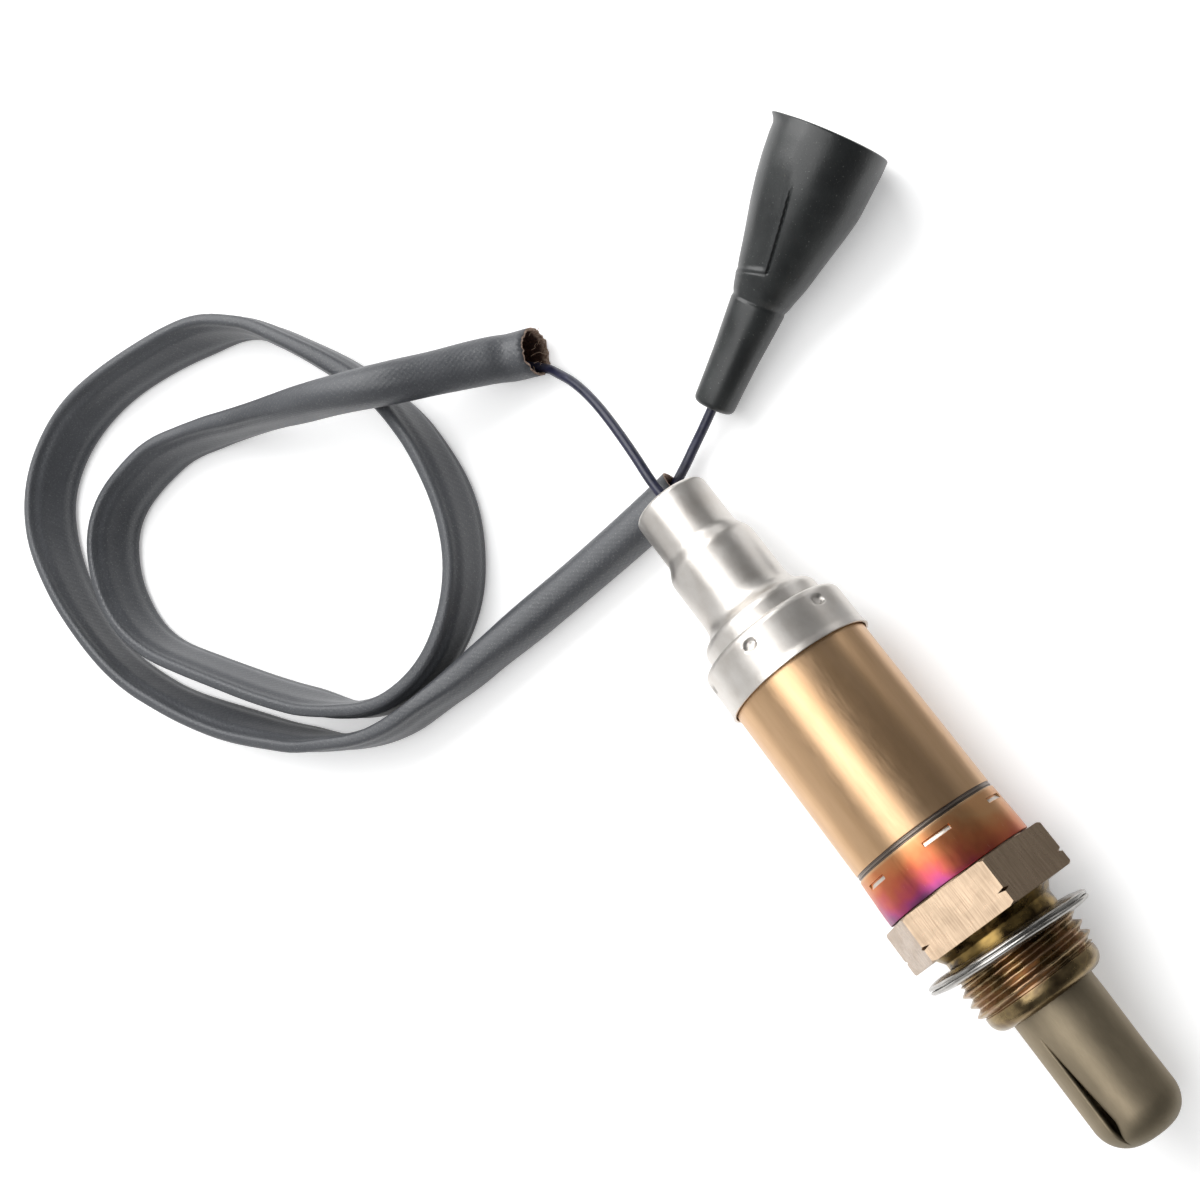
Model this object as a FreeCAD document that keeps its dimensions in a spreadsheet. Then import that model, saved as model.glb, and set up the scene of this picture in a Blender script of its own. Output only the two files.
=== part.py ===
import FreeCAD, Part
import math
import os
import re

import Sketcher

# Single-wire oxygen sensor for an exhaust pipe, lying on a table with its lead.
# The sensor's axis runs along X, nose towards +X. The table is the plane z = 0, and the
# origin lies on it under the middle of the sensor. All sizes are in millimetres.

doc = FreeCAD.newDocument("oxygen_sensor")

# Driving sizes

SIZES = {
    "hex_flats": 22.0,
    "hex_length": 6.35,
    "hex_edge_break": 0.35,
    "hex_notch_depth": 1.1,
    "hex_notch_width": 1.2,
    "hex_notch_setback": 2.0,
    "root_diameter": 17.6,
    "root_length": 1.1,
    "neck_diameter": 16.2,
    "neck_length": 4.9,
    "thread_diameter": 17.9,
    "thread_length": 4.2,
    "thread_lead_in": 0.6,
    "nose_collar_diameter": 16.6,
    "nose_collar_length": 2.6,
    "nose_collar_round": 1.9,
    "nose_lip_length": 1.2,
    "front_bore": 8.6,
    "packing_bore": 12.4,
    "packing_seat_depth": 2.0,
    "crimp_length": 1.0,
    "crimp_bore": 10.0,
    "crimp_wall": 1.5,
    "spigot_length": 6.85,
    "gasket_play": 1.15,
    "gasket_width": 3.125,
    "gasket_thickness": 1.9,
    "gasket_rim_thickness": 1.4,
    "gasket_rim_taper": 2.0,
    "gasket_rim_break": 0.15,
    "gasket_groove_depth": 0.7,
    "gasket_setback": 3.3,
    "gasket_yaw": 3.0,
    "guard_diameter": 11.9,
    "guard_wall": 0.5,
    "guard_length": 19.4,
    "guard_tip_round": 4.3,
    "guard_flange_diameter": 13.2,
    "guard_flange_thickness": 1.0,
    "slit_count": 3,
    "slit_start": 2.7,
    "slit_length": 13.2,
    "slit_width": 1.2,
    "slit_taper": 2.2,
    "slit_angle": 115.0,
    "tip_gap": 4.4,
    "ceramic_shaft_diameter": 6.4,
    "ceramic_collar_length": 5.5,
    "ceramic_stem_diameter": 8.2,
    "ceramic_stem_length": 11.0,
    "ceramic_bore": 4.4,
    "ceramic_end_wall": 1.6,
    "ceramic_tip_flat": 0.4,
    "seal_thickness": 0.6,
    "powder_length": 3.5,
    "ring_length": 2.4,
    "contact_sleeve_length": 8.0,
    "contact_sleeve_wall": 0.4,
    "contact_flange_diameter": 8.0,
    "contact_flange_thickness": 0.6,
    "contact_rod_diameter": 2.4,
    "support_front_diameter": 14.4,
    "support_front_length": 7.0,
    "support_clearance": 0.6,
    "spring_height": 1.5,
    "spring_thickness": 0.7,
    "spring_clearance": 1.3,
    "spring_bore": 9.0,
    "sleeve_diameter": 21.2,
    "sleeve_wall": 0.7,
    "sleeve_length": 40.2,
    "sleeve_end_bore": 12.4,
    "sleeve_setback": 0.25,
    "band_flare": 0.25,
    "band_length": 6.6,
    "groove_length": 1.2,
    "groove_depth": 0.25,
    "mark_count": 6,
    "mark_length": 3.5,
    "mark_width": 0.8,
    "mark_depth": 0.3,
    "mark_setback": 5.1,
    "mark_angle": 70.5,
    "skirt_wall": 0.4,
    "skirt_overlap": 6.4,
    "skirt_round": 1.1,
    "lip_flare": 0.2,
    "lip_length": 0.7,
    "dimple_count": 6,
    "dimple_length": 1.9,
    "dimple_width": 1.6,
    "dimple_depth": 0.25,
    "dimple_setback": 5.0,
    "dimple_angle": 32.0,
    "cap_wall": 0.7,
    "shoulder_step": 1.9,
    "shoulder_length": 2.7,
    "shoulder_round": 0.9,
    "flare_length": 2.3,
    "cap_tube_diameter": 13.7,
    "cap_tube_length": 8.5,
    "step_length": 2.4,
    "neck_step": 1.1,
    "cap_neck_length": 8.1,
    "neck_roll": 0.9,
    "neck_rim_width": 1.25,
    "bush_length": 8.6,
    "crimp_tube_diameter": 4.2,
    "crimp_tube_length": 10.0,
    "crimp_tube_web": 1.0,
    "crimp_tube_start": 1.0,
    "fit_gap": 0.05,
    "wire_diameter": 1.9,
    "sleeving_diameter": 6.8,
    "sleeving_bore": 5.3,
    "sleeving_gap": 0.3,
    "lead_straight": 5.0,
    "boot_length": 39.0,
    "boot_small_diameter": 5.8,
    "boot_stem_diameter": 7.6,
    "boot_stem_length": 14.0,
    "boot_bead_diameter": 8.4,
    "boot_throat_length": 6.0,
    "boot_throat_diameter": 11.0,
    "boot_bell_length": 7.0,
    "boot_bell_diameter": 15.6,
    "boot_rim_diameter": 18.0,
    "boot_wall": 1.0,
    "boot_small_round": 0.8,
    "boot_seat_length": 1.0,
    "boot_lead_in": 3.0,
    "boot_yaw": 112.4,
    "boot_x": -60.6,
    "boot_y": 13.2,
    "terminal_start": 9.0,
    "terminal_barrel_diameter": 4.0,
    "terminal_barrel_length": 6.0,
    "terminal_socket_diameter": 5.2,
    "terminal_socket_length": 11.0,
    "terminal_socket_bore": 3.8,
    "terminal_web": 1.3,
}

sheet = doc.addObject("Spreadsheet::Sheet", "Sizes")
for row, (alias, value) in enumerate(SIZES.items(), start=1):
    sheet.set(f"A{row}", alias)
    sheet.set(f"B{row}", str(value))
    sheet.setAlias(f"B{row}", alias)
doc.recompute()


def size(text):
    """The number that an expression on the sheet stands for."""
    return float(sheet.evalExpression(named(text)))


def named(text):
    """Put the sheet's name before each size in an expression."""
    return re.sub(r"[a-z_]+", lambda m: f"Sizes.{m[0]}" if m[0] in SIZES else m[0], text)


def plus(*terms):
    return "(" + " + ".join(terms) + ")"


def minus(first, *terms):
    return "(" + " - ".join([first, *terms]) + ")"


def half(text):
    return f"({text} / 2)"


# Stations along the axis, measured from the hexagon's seat towards the nose

THREAD_BACK = "neck_length"
COLLAR_BACK = plus(THREAD_BACK, "thread_length")
COLLAR_FRONT = plus(COLLAR_BACK, "nose_collar_length")
FLANGE_FRONT = minus(COLLAR_FRONT, "nose_lip_length")
FLANGE_BACK = minus(FLANGE_FRONT, "guard_flange_thickness")
GUARD_TIP = plus(COLLAR_FRONT, "guard_length")
HEX_BACK = minus("0", "hex_length")
SPIGOT_BACK = minus(HEX_BACK, "spigot_length")
SEAL_FRONT = minus("0", "packing_seat_depth")
CERAMIC_SEAT = minus(SEAL_FRONT, "seal_thickness")
POWDER_FRONT = minus(CERAMIC_SEAT, "ceramic_collar_length")
RING_FRONT = minus(POWDER_FRONT, "powder_length")
RING_BACK = minus(RING_FRONT, "ring_length")
HOUSING_BACK = minus(RING_BACK, "crimp_length")
CERAMIC_BACK = minus(POWDER_FRONT, "ceramic_stem_length")
CERAMIC_TIP = minus(GUARD_TIP, "guard_wall", "tip_gap")
SUPPORT_FRONT = minus(CERAMIC_BACK, "contact_flange_thickness")
SLEEVE_FRONT = minus(HEX_BACK, "sleeve_setback")
BAND_BACK = minus(SLEEVE_FRONT, "band_length")
GROOVE_BACK = minus(BAND_BACK, "groove_length")
SLEEVE_BACK = minus(SLEEVE_FRONT, "sleeve_length")
SPRING_BACK = plus(SLEEVE_BACK, "sleeve_wall")
SUPPORT_BACK = plus(SPRING_BACK, "spring_height")
SKIRT_FRONT = plus(SLEEVE_BACK, "skirt_overlap")
SHOULDER_FRONT = minus(SLEEVE_BACK, "cap_wall")
SHOULDER_BACK = minus(SHOULDER_FRONT, "shoulder_length")
FLARE_BACK = minus(SHOULDER_BACK, "flare_length")
CAP_TUBE_BACK = minus(FLARE_BACK, "cap_tube_length")
STEP_BACK = minus(CAP_TUBE_BACK, "step_length")
CAP_END = minus(STEP_BACK, "cap_neck_length")
BUSH_BACK = plus(CAP_TUBE_BACK, half("cap_wall"))
CRIMP_FRONT = minus(SLEEVE_BACK, "crimp_tube_start")
CRIMP_BACK = minus(CRIMP_FRONT, "crimp_tube_length")
ROD_END = plus(half(plus(CRIMP_FRONT, CRIMP_BACK)), half("crimp_tube_web"))
WIRE_START = minus(ROD_END, "crimp_tube_web")

# Radii that more than one piece is built from

SLEEVE_INNER = minus(half("sleeve_diameter"), "sleeve_wall")
SKIRT = plus(half("sleeve_diameter"), "fit_gap", "skirt_wall")
LIP = plus(SKIRT, "lip_flare")
SHOULDER = minus(SKIRT, "shoulder_step")
CAP_NECK = minus(half("cap_tube_diameter"), "neck_step")
GASKET_BORE = half(plus("neck_diameter", "gasket_play"))
GASKET_RIM = plus(GASKET_BORE, "gasket_width")

# The sensor rests on its skirt's lip and on the neck inside the loose gasket, whichever is
# higher, clear of its hexagon, and its middle is over the origin

GASKET_DROP = half(minus("gasket_play", "fit_gap"))
AXIS_HEIGHT = f"max({LIP}; {minus(GASKET_RIM, GASKET_DROP)}; {half('hex_flats')})"
GASKET_HEIGHT = f"max({GASKET_RIM}; {minus(AXIS_HEIGHT, GASKET_DROP)})"
SEAT_X = minus("0", half(plus(GUARD_TIP, CAP_END)))


def origin_plane(body, role):
    return next(f for f in body.Origin.OriginFeatures if f.Role == role)


def new_body(label, roll="0"):
    """A body whose X axis is the sensor's axis, turned about it by roll degrees."""
    body = doc.addObject("PartDesign::Body", label)
    body.Label = label
    body.Placement = FreeCAD.Placement(FreeCAD.Vector(), FreeCAD.Rotation(FreeCAD.Vector(1, 0, 0), 0))
    body.setExpression(".Placement.Base.x", named(SEAT_X))
    body.setExpression(".Placement.Base.z", named(AXIS_HEIGHT))
    body.setExpression(".Placement.Rotation.Angle", named(roll))
    return body


def outline(body, name, plane, points):
    """A closed sketch of straight lines whose corners are bound to expressions."""
    sketch = body.newObject("Sketcher::SketchObject", name)
    sketch.AttachmentSupport = (origin_plane(body, plane), "")
    sketch.MapMode = "FlatFace"
    spots = [FreeCAD.Vector(size(u), size(v), 0) for u, v in points]
    for i, spot in enumerate(spots):
        sketch.addGeometry(Part.LineSegment(spot, spots[(i + 1) % len(spots)]), False)
    bind_corners(sketch, points, spots)
    return sketch


def bind_corners(sketch, points, spots):
    """Join the lines at their ends and give each corner its two expressions."""
    for i in range(len(points)):
        sketch.addConstraint(Sketcher.Constraint("Coincident", i, 2, (i + 1) % len(points), 1))
    for i, ((u, v), spot) in enumerate(zip(points, spots)):
        for letter, kind, text, number in (("u", "DistanceX", u, spot.x), ("v", "DistanceY", v, spot.y)):
            index = sketch.addConstraint(Sketcher.Constraint(kind, -1, 1, i, 1, number))
            sketch.renameConstraint(index, f"{letter}{i}")
            sketch.setExpression(f"Constraints.{letter}{i}", named(text))


def turn(body, name, points, cut=False):
    """Revolve an outline of (station, radius) corners about the body's X axis."""
    sketch = outline(body, name + "_outline", "XY_Plane", points)
    kind = "PartDesign::Groove" if cut else "PartDesign::Revolution"
    feature = body.newObject(kind, name)
    feature.Profile = sketch
    feature.ReferenceAxis = (sketch, ["H_Axis"])
    feature.Angle = 360
    body.Tip = feature
    doc.recompute()
    return feature


# How far a round edge may lie from the corner that names it
SAME_PLACE = 1e-4


def round_rims(body, name, radius, rims):
    """Fillet the round edges that lie at the given (station, radius) corners."""
    solid = body.Tip
    names = []
    for index, edge in enumerate(solid.Shape.Edges, start=1):
        if not isinstance(edge.Curve, Part.Circle):
            continue
        for station, rim in rims:
            near = abs(edge.Curve.Center.x - size(station)) < SAME_PLACE
            if near and abs(edge.Curve.Radius - size(rim)) < SAME_PLACE:
                names.append(f"Edge{index}")
    fillet = body.newObject("PartDesign::Fillet", name)
    fillet.Base = (solid, names)
    fillet.setExpression("Radius", named(radius))
    body.Tip = fillet
    doc.recompute()
    return fillet


def spread(body, name, feature, count):
    """Repeat a cut evenly round the body's X axis."""
    pattern = body.newObject("PartDesign::PolarPattern", name)
    pattern.Originals = [feature]
    pattern.Axis = (origin_plane(body, "X_Axis"), [""])
    pattern.Angle = 360
    pattern.setExpression("Occurrences", named(count))
    body.Tip = pattern
    doc.recompute()
    return pattern


def stamp(body, name, station, radius, length, width, depth):
    """Cut one shallow oblong pocket, centred on a station, into the top of a round surface."""
    near, far = minus(station, half(length)), plus(station, half(length))
    side = half(width)
    corners = [(near, minus("0", side)), (far, minus("0", side)), (far, side), (near, side)]
    sketch = outline(body, name + "_outline", "XY_Plane", corners)
    sketch.setExpression(".AttachmentOffset.Base.z", named(minus(radius, depth)))
    pocket = body.newObject("PartDesign::Pocket", name)
    pocket.Profile = sketch
    pocket.Reversed = True
    pocket.setExpression("Length", named(radius))
    body.Tip = pocket
    doc.recompute()
    return pocket


def housing():
    body = new_body("housing")
    across = "(hex_flats / 2 / cos(30))"
    corners = [(f"{across} * cos({60 * i})", f"{across} * sin({60 * i})") for i in range(6)]
    hexagon = outline(body, "hexagon", "YZ_Plane", corners)
    pad = body.newObject("PartDesign::Pad", "hex_pad")
    pad.Profile = hexagon
    pad.Reversed = True
    pad.setExpression("Length", named("hex_length"))
    body.Tip = pad
    doc.recompute()
    neck = half("neck_diameter")
    thread = half("thread_diameter")
    collar = half("nose_collar_diameter")
    spigot = minus(SLEEVE_INNER, "fit_gap")
    tail = plus(half("packing_bore"), "crimp_wall")
    turn(body, "shank", [
        (HOUSING_BACK, "0"),
        (HOUSING_BACK, tail),
        (SPIGOT_BACK, tail),
        (SPIGOT_BACK, spigot),
        (HEX_BACK, spigot),
        ("0", spigot),
        ("0", half("root_diameter")),
        ("root_length", neck),
        (THREAD_BACK, neck),
        (THREAD_BACK, minus(thread, "thread_lead_in")),
        (plus(THREAD_BACK, "thread_lead_in"), thread),
        (minus(COLLAR_BACK, "thread_lead_in"), thread),
        (COLLAR_BACK, collar),
        (COLLAR_FRONT, collar),
        (COLLAR_FRONT, "0"),
    ])
    round_rims(body, "nose_round", "nose_collar_round", [(COLLAR_FRONT, collar)])
    guard = half("guard_diameter")
    turn(body, "inner_bores", [
        (HOUSING_BACK, "0"),
        (HOUSING_BACK, half("crimp_bore")),
        (RING_BACK, half("crimp_bore")),
        (RING_BACK, half("packing_bore")),
        (SEAL_FRONT, half("packing_bore")),
        (SEAL_FRONT, half("front_bore")),
        (FLANGE_BACK, half("front_bore")),
        (FLANGE_BACK, plus(half("guard_flange_diameter"), "fit_gap")),
        (FLANGE_FRONT, plus(half("guard_flange_diameter"), "fit_gap")),
        (FLANGE_FRONT, plus(guard, "fit_gap")),
        (COLLAR_FRONT, plus(guard, "fit_gap")),
        (COLLAR_FRONT, "0"),
    ], cut=True)
    notch = minus("0", "hex_notch_setback")
    reach = minus(across, "hex_notch_depth")
    turn(body, "corner_notches", [
        (notch, reach),
        (plus(notch, half("hex_notch_width")), across),
        (minus(notch, half("hex_notch_width")), across),
    ], cut=True)
    for name, face, inside in (
        ("back_edge_break", HEX_BACK, plus(HEX_BACK, "hex_edge_break")),
        ("seat_edge_break", "0", minus("0", "hex_edge_break")),
    ):
        turn(body, name, [
            (face, minus(across, "hex_edge_break", "hex_edge_break")),
            (face, plus(across, "hex_edge_break")),
            (inside, plus(across, "hex_edge_break")),
            (inside, across),
        ], cut=True)
    return body


def gasket():
    """A folded ring: two lips with a groove between them, loose on the neck and leaning."""
    body = doc.addObject("PartDesign::Body", "gasket")
    body.Label = "gasket"
    front, back = half("gasket_thickness"), minus("0", half("gasket_thickness"))
    edge, crest = half("gasket_rim_thickness"), half(half("gasket_rim_thickness"))
    shoulder = minus(GASKET_RIM, "gasket_rim_taper")
    corner = minus(GASKET_RIM, "gasket_rim_break")
    turn(body, "folded_ring", [
        (back, GASKET_BORE),
        (back, shoulder),
        (minus("0", edge), corner),
        (minus("0", crest), GASKET_RIM),
        ("0", minus(GASKET_RIM, "gasket_groove_depth")),
        (crest, GASKET_RIM),
        (edge, corner),
        (front, shoulder),
        (front, GASKET_BORE),
    ])
    body.Placement = FreeCAD.Placement(FreeCAD.Vector(), FreeCAD.Rotation(FreeCAD.Vector(0, 0, -1), 0))
    body.setExpression(".Placement.Base.x", named(plus(SEAT_X, "gasket_setback")))
    body.setExpression(".Placement.Base.z", named(GASKET_HEIGHT))
    body.setExpression(".Placement.Rotation.Angle", named("gasket_yaw"))
    return body


def guard_tube():
    """Closed tube over the sensing tip, with slits that widen towards the nose."""
    body = new_body("protection_tube", roll="slit_angle - 90")
    outer = half("guard_diameter")
    inner = minus(outer, "guard_wall")
    flange = half("guard_flange_diameter")
    turn(body, "guard", [
        (FLANGE_BACK, inner),
        (FLANGE_BACK, flange),
        (FLANGE_FRONT, flange),
        (FLANGE_FRONT, outer),
        (GUARD_TIP, outer),
        (GUARD_TIP, "0"),
        (minus(GUARD_TIP, "guard_wall"), "0"),
        (minus(GUARD_TIP, "guard_wall"), inner),
    ])
    round_rims(body, "tip_round", "guard_tip_round", [(GUARD_TIP, outer)])
    round_rims(body, "tip_inner_round", minus("guard_tip_round", "guard_wall"),
               [(minus(GUARD_TIP, "guard_wall"), inner)])
    start = plus(COLLAR_FRONT, "slit_start")
    end = plus(start, "slit_length")
    widest = minus(end, "slit_taper")
    sketch = outline(body, "slit_outline", "XY_Plane", [
        (start, "0"),
        (widest, minus("0", half("slit_width"))),
        (end, "0"),
        (widest, half("slit_width")),
    ])
    slit = body.newObject("PartDesign::Pocket", "slit")
    slit.Profile = sketch
    slit.Reversed = True
    slit.setExpression("Length", named("guard_diameter"))
    body.Tip = slit
    doc.recompute()
    spread(body, "slits", slit, "slit_count")
    return body


def sensor_ceramic():
    """The sensing thimble: a closed tip, a seating collar and an open stem."""
    body = new_body("sensor_ceramic")
    shaft = half("ceramic_shaft_diameter")
    collar = minus(half("packing_bore"), "fit_gap", "fit_gap")
    stem = half("ceramic_stem_diameter")
    bore = half("ceramic_bore")
    bore_end = minus(CERAMIC_TIP, "ceramic_end_wall")
    turn(body, "thimble", [
        (CERAMIC_BACK, bore),
        (CERAMIC_BACK, stem),
        (POWDER_FRONT, stem),
        (POWDER_FRONT, collar),
        (CERAMIC_SEAT, collar),
        (CERAMIC_SEAT, shaft),
        (CERAMIC_TIP, shaft),
        (CERAMIC_TIP, "0"),
        (bore_end, "0"),
        (bore_end, bore),
    ])
    round_rims(body, "thimble_tip", minus(shaft, "ceramic_tip_flat"), [(CERAMIC_TIP, shaft)])
    return body


def ring(label, back, front, inner, outer):
    body = new_body(label)
    turn(body, label + "_turn", [(back, inner), (back, outer), (front, outer), (front, inner)])
    return body


def packing():
    """The seal under the ceramic's collar, the powder behind it and the ring that presses it."""
    outer = minus(half("packing_bore"), "fit_gap")
    stem = plus(half("ceramic_stem_diameter"), "fit_gap")
    seal_bore = plus(half("front_bore"), "fit_gap")
    return [
        ring("seal_ring", CERAMIC_SEAT, SEAL_FRONT, seal_bore, outer),
        ring("powder_packing", RING_FRONT, POWDER_FRONT, stem, outer),
        ring("pressure_ring", RING_BACK, RING_FRONT, stem, outer),
    ]


def contact_element():
    """The spring sleeve in the ceramic's bore, its flange and the rod that leads back."""
    body = new_body("contact_element")
    sleeve = minus(half("ceramic_bore"), "fit_gap")
    hollow = minus(sleeve, "contact_sleeve_wall")
    sleeve_end = plus(CERAMIC_BACK, "contact_sleeve_length")
    turn(body, "contact", [
        (ROD_END, "0"),
        (ROD_END, half("contact_rod_diameter")),
        (SUPPORT_FRONT, half("contact_rod_diameter")),
        (SUPPORT_FRONT, half("contact_flange_diameter")),
        (CERAMIC_BACK, half("contact_flange_diameter")),
        (CERAMIC_BACK, sleeve),
        (sleeve_end, sleeve),
        (sleeve_end, hollow),
        (CERAMIC_BACK, hollow),
        (CERAMIC_BACK, "0"),
    ])
    return body


def support_tube():
    body = new_body("support_tube")
    bore = plus(half("contact_rod_diameter"), "fit_gap")
    step = minus(SUPPORT_FRONT, "support_front_length")
    outer = minus(SLEEVE_INNER, "support_clearance")
    turn(body, "support", [
        (SUPPORT_BACK, bore),
        (SUPPORT_BACK, outer),
        (step, outer),
        (step, half("support_front_diameter")),
        (SUPPORT_FRONT, half("support_front_diameter")),
        (SUPPORT_FRONT, bore),
    ])
    return body


def disc_spring():
    body = new_body("disc_spring")
    rim = minus(SLEEVE_INNER, "spring_clearance")
    turn(body, "cone_washer", [
        (SUPPORT_BACK, half("spring_bore")),
        (minus(SUPPORT_BACK, "spring_thickness"), half("spring_bore")),
        (SPRING_BACK, rim),
        (plus(SPRING_BACK, "spring_thickness"), rim),
    ])
    return body


def protective_sleeve():
    """The thin shell behind the hexagon, staked to the housing through six marks."""
    body = new_body("protective_sleeve", roll="mark_angle - 90")
    outer = half("sleeve_diameter")
    band = plus(outer, "band_flare")
    turn(body, "shell", [
        (SLEEVE_FRONT, SLEEVE_INNER),
        (SLEEVE_FRONT, band),
        (BAND_BACK, outer),
        (BAND_BACK, minus(outer, "groove_depth")),
        (GROOVE_BACK, minus(outer, "groove_depth")),
        (GROOVE_BACK, outer),
        (SLEEVE_BACK, outer),
        (SLEEVE_BACK, half("sleeve_end_bore")),
        (SPRING_BACK, half("sleeve_end_bore")),
        (SPRING_BACK, SLEEVE_INNER),
    ])
    mark = stamp(body, "mark", minus(SLEEVE_FRONT, "mark_setback"), half(plus(band, outer)),
                 "mark_width", "mark_length", "mark_depth")
    spread(body, "marks", mark, "mark_count")
    return body


def end_cap():
    """The stepped cap over the sleeve's end, staked to it through six dimples."""
    body = new_body("end_cap", roll="dimple_angle - 90")
    skirt_inner = plus(half("sleeve_diameter"), "fit_gap")
    tube = half("cap_tube_diameter")
    mouth = minus(CAP_NECK, "neck_rim_width")
    turn(body, "cap", [
        (SKIRT_FRONT, skirt_inner),
        (SKIRT_FRONT, LIP),
        (minus(SKIRT_FRONT, "lip_length"), SKIRT),
        (SHOULDER_FRONT, SKIRT),
        (SHOULDER_FRONT, SHOULDER),
        (SHOULDER_BACK, SHOULDER),
        (FLARE_BACK, tube),
        (CAP_TUBE_BACK, tube),
        (STEP_BACK, CAP_NECK),
        (CAP_END, CAP_NECK),
        (CAP_END, mouth),
        (plus(CAP_END, "cap_wall"), mouth),
        (plus(CAP_END, "cap_wall"), minus(CAP_NECK, "cap_wall")),
        (plus(STEP_BACK, half("cap_wall")), minus(CAP_NECK, "cap_wall")),
        (plus(CAP_TUBE_BACK, half("cap_wall")), minus(tube, "cap_wall")),
        (plus(FLARE_BACK, half("cap_wall")), minus(tube, "cap_wall")),
        (plus(SHOULDER_BACK, half("cap_wall")), minus(SHOULDER, "cap_wall")),
        (SLEEVE_BACK, minus(SHOULDER, "cap_wall")),
        (SLEEVE_BACK, skirt_inner),
    ])
    round_rims(body, "skirt_fillet", "skirt_round", [(SHOULDER_FRONT, SKIRT)])
    round_rims(body, "shoulder_fillet", "shoulder_round", [(SHOULDER_BACK, SHOULDER)])
    round_rims(body, "neck_fillet", "neck_roll", [(CAP_END, CAP_NECK)])
    dimple = stamp(body, "dimple", minus(SKIRT_FRONT, "dimple_setback"), SKIRT,
                   "dimple_length", "dimple_width", "dimple_depth")
    spread(body, "dimples", dimple, "dimple_count")
    return body


def insulating_bush():
    outer = minus(half("cap_tube_diameter"), "cap_wall", "fit_gap")
    bore = plus(half("crimp_tube_diameter"), "fit_gap")
    return ring("insulating_bush", BUSH_BACK, plus(BUSH_BACK, "bush_length"), bore, outer)


def terminal_crimp():
    """The crimp that joins the contact's rod to the lead."""
    body = new_body("terminal_crimp")
    outer = half("crimp_tube_diameter")
    rod = plus(half("contact_rod_diameter"), "fit_gap")
    wire = plus(half("wire_diameter"), "fit_gap")
    turn(body, "crimp", [
        (CRIMP_BACK, wire),
        (CRIMP_BACK, outer),
        (CRIMP_FRONT, outer),
        (CRIMP_FRONT, rod),
        (ROD_END, rod),
        (ROD_END, "0"),
        (WIRE_START, "0"),
        (WIRE_START, wire),
    ])
    return body


def grommet():
    """The plug in the cap's neck that the lead passes through."""
    body = new_body("grommet")
    neck = minus(CAP_NECK, "cap_wall", "fit_gap")
    tube = minus(half("cap_tube_diameter"), "cap_wall", "fit_gap")
    bore = plus(half("wire_diameter"), half("fit_gap"))
    turn(body, "plug", [
        (plus(CAP_END, "cap_wall"), bore),
        (plus(CAP_END, "cap_wall"), neck),
        (plus(STEP_BACK, half("cap_wall")), neck),
        (BUSH_BACK, tube),
        (BUSH_BACK, bore),
    ])
    return body


# The boot lies on the table on its small end and the start of its bell's straight part

BOOT_BELL_END = plus("boot_stem_length", "boot_throat_length", "boot_bell_length")
BOOT_RISE = half(minus("boot_bell_diameter", "boot_small_diameter"))
BOOT_PITCH = math.atan(size(BOOT_RISE) / size(BOOT_BELL_END))
BOOT_YAW = math.radians(size("boot_yaw"))
BOOT_AXIS = FreeCAD.Vector(
    math.cos(BOOT_PITCH) * math.cos(BOOT_YAW),
    math.cos(BOOT_PITCH) * math.sin(BOOT_YAW),
    math.sin(BOOT_PITCH),
)
BOOT_START = FreeCAD.Vector(
    size("boot_x"), size("boot_y"), size("boot_small_diameter") / 2 * math.cos(BOOT_PITCH)
)


def on_boot_axis(body):
    body.Placement = FreeCAD.Placement(BOOT_START, FreeCAD.Rotation(FreeCAD.Vector(1, 0, 0), BOOT_AXIS))
    return body


def boot():
    """A rubber boot: a slim stem for the lead, a bead and a bell with an open mouth."""
    body = doc.addObject("PartDesign::Body", "boot")
    body.Label = "boot"
    small, stem = half("boot_small_diameter"), half("boot_stem_diameter")
    bead, throat = half("boot_bead_diameter"), half("boot_throat_diameter")
    bell, rim = half("boot_bell_diameter"), half("boot_rim_diameter")
    stem_end = "boot_stem_length"
    throat_end = plus(stem_end, "boot_throat_length")
    barrel = plus(half("terminal_barrel_diameter"), "fit_gap")
    socket = plus(half("terminal_socket_diameter"), "fit_gap")
    socket_start = plus("terminal_start", "terminal_barrel_length")
    turn(body, "boot_wall_turn", [
        ("0", plus(half("wire_diameter"), "fit_gap")),
        ("0", small),
        (stem_end, stem),
        (stem_end, bead),
        (throat_end, throat),
        (BOOT_BELL_END, bell),
        ("boot_length", rim),
        ("boot_length", minus(rim, "boot_wall")),
        (BOOT_BELL_END, minus(bell, "boot_wall")),
        (throat_end, minus(throat, "boot_wall")),
        (plus(socket_start, "boot_seat_length"), socket),
        (socket_start, socket),
        (socket_start, barrel),
        ("terminal_start", barrel),
        ("terminal_start", plus(half("wire_diameter"), "fit_gap")),
    ])
    round_rims(body, "small_end_round", "boot_small_round", [("0", small)])
    return on_boot_axis(body)


def boot_terminal():
    """The crimped push-on terminal inside the boot."""
    body = doc.addObject("PartDesign::Body", "boot_terminal")
    body.Label = "boot_terminal"
    start = "terminal_start"
    socket_start = plus(start, "terminal_barrel_length")
    end = plus(socket_start, "terminal_socket_length")
    barrel = half("terminal_barrel_diameter")
    wire = plus(half("wire_diameter"), "fit_gap")
    turn(body, "terminal", [
        (start, wire),
        (start, barrel),
        (socket_start, barrel),
        (socket_start, half("terminal_socket_diameter")),
        (end, half("terminal_socket_diameter")),
        (end, half("terminal_socket_bore")),
        (plus(socket_start, "terminal_web"), half("terminal_socket_bore")),
        (plus(socket_start, "terminal_web"), "0"),
        (socket_start, "0"),
        (socket_start, wire),
    ])
    return on_boot_axis(body)


# Points of the sleeving's route on the table, chosen by hand, height given for its centre

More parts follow.
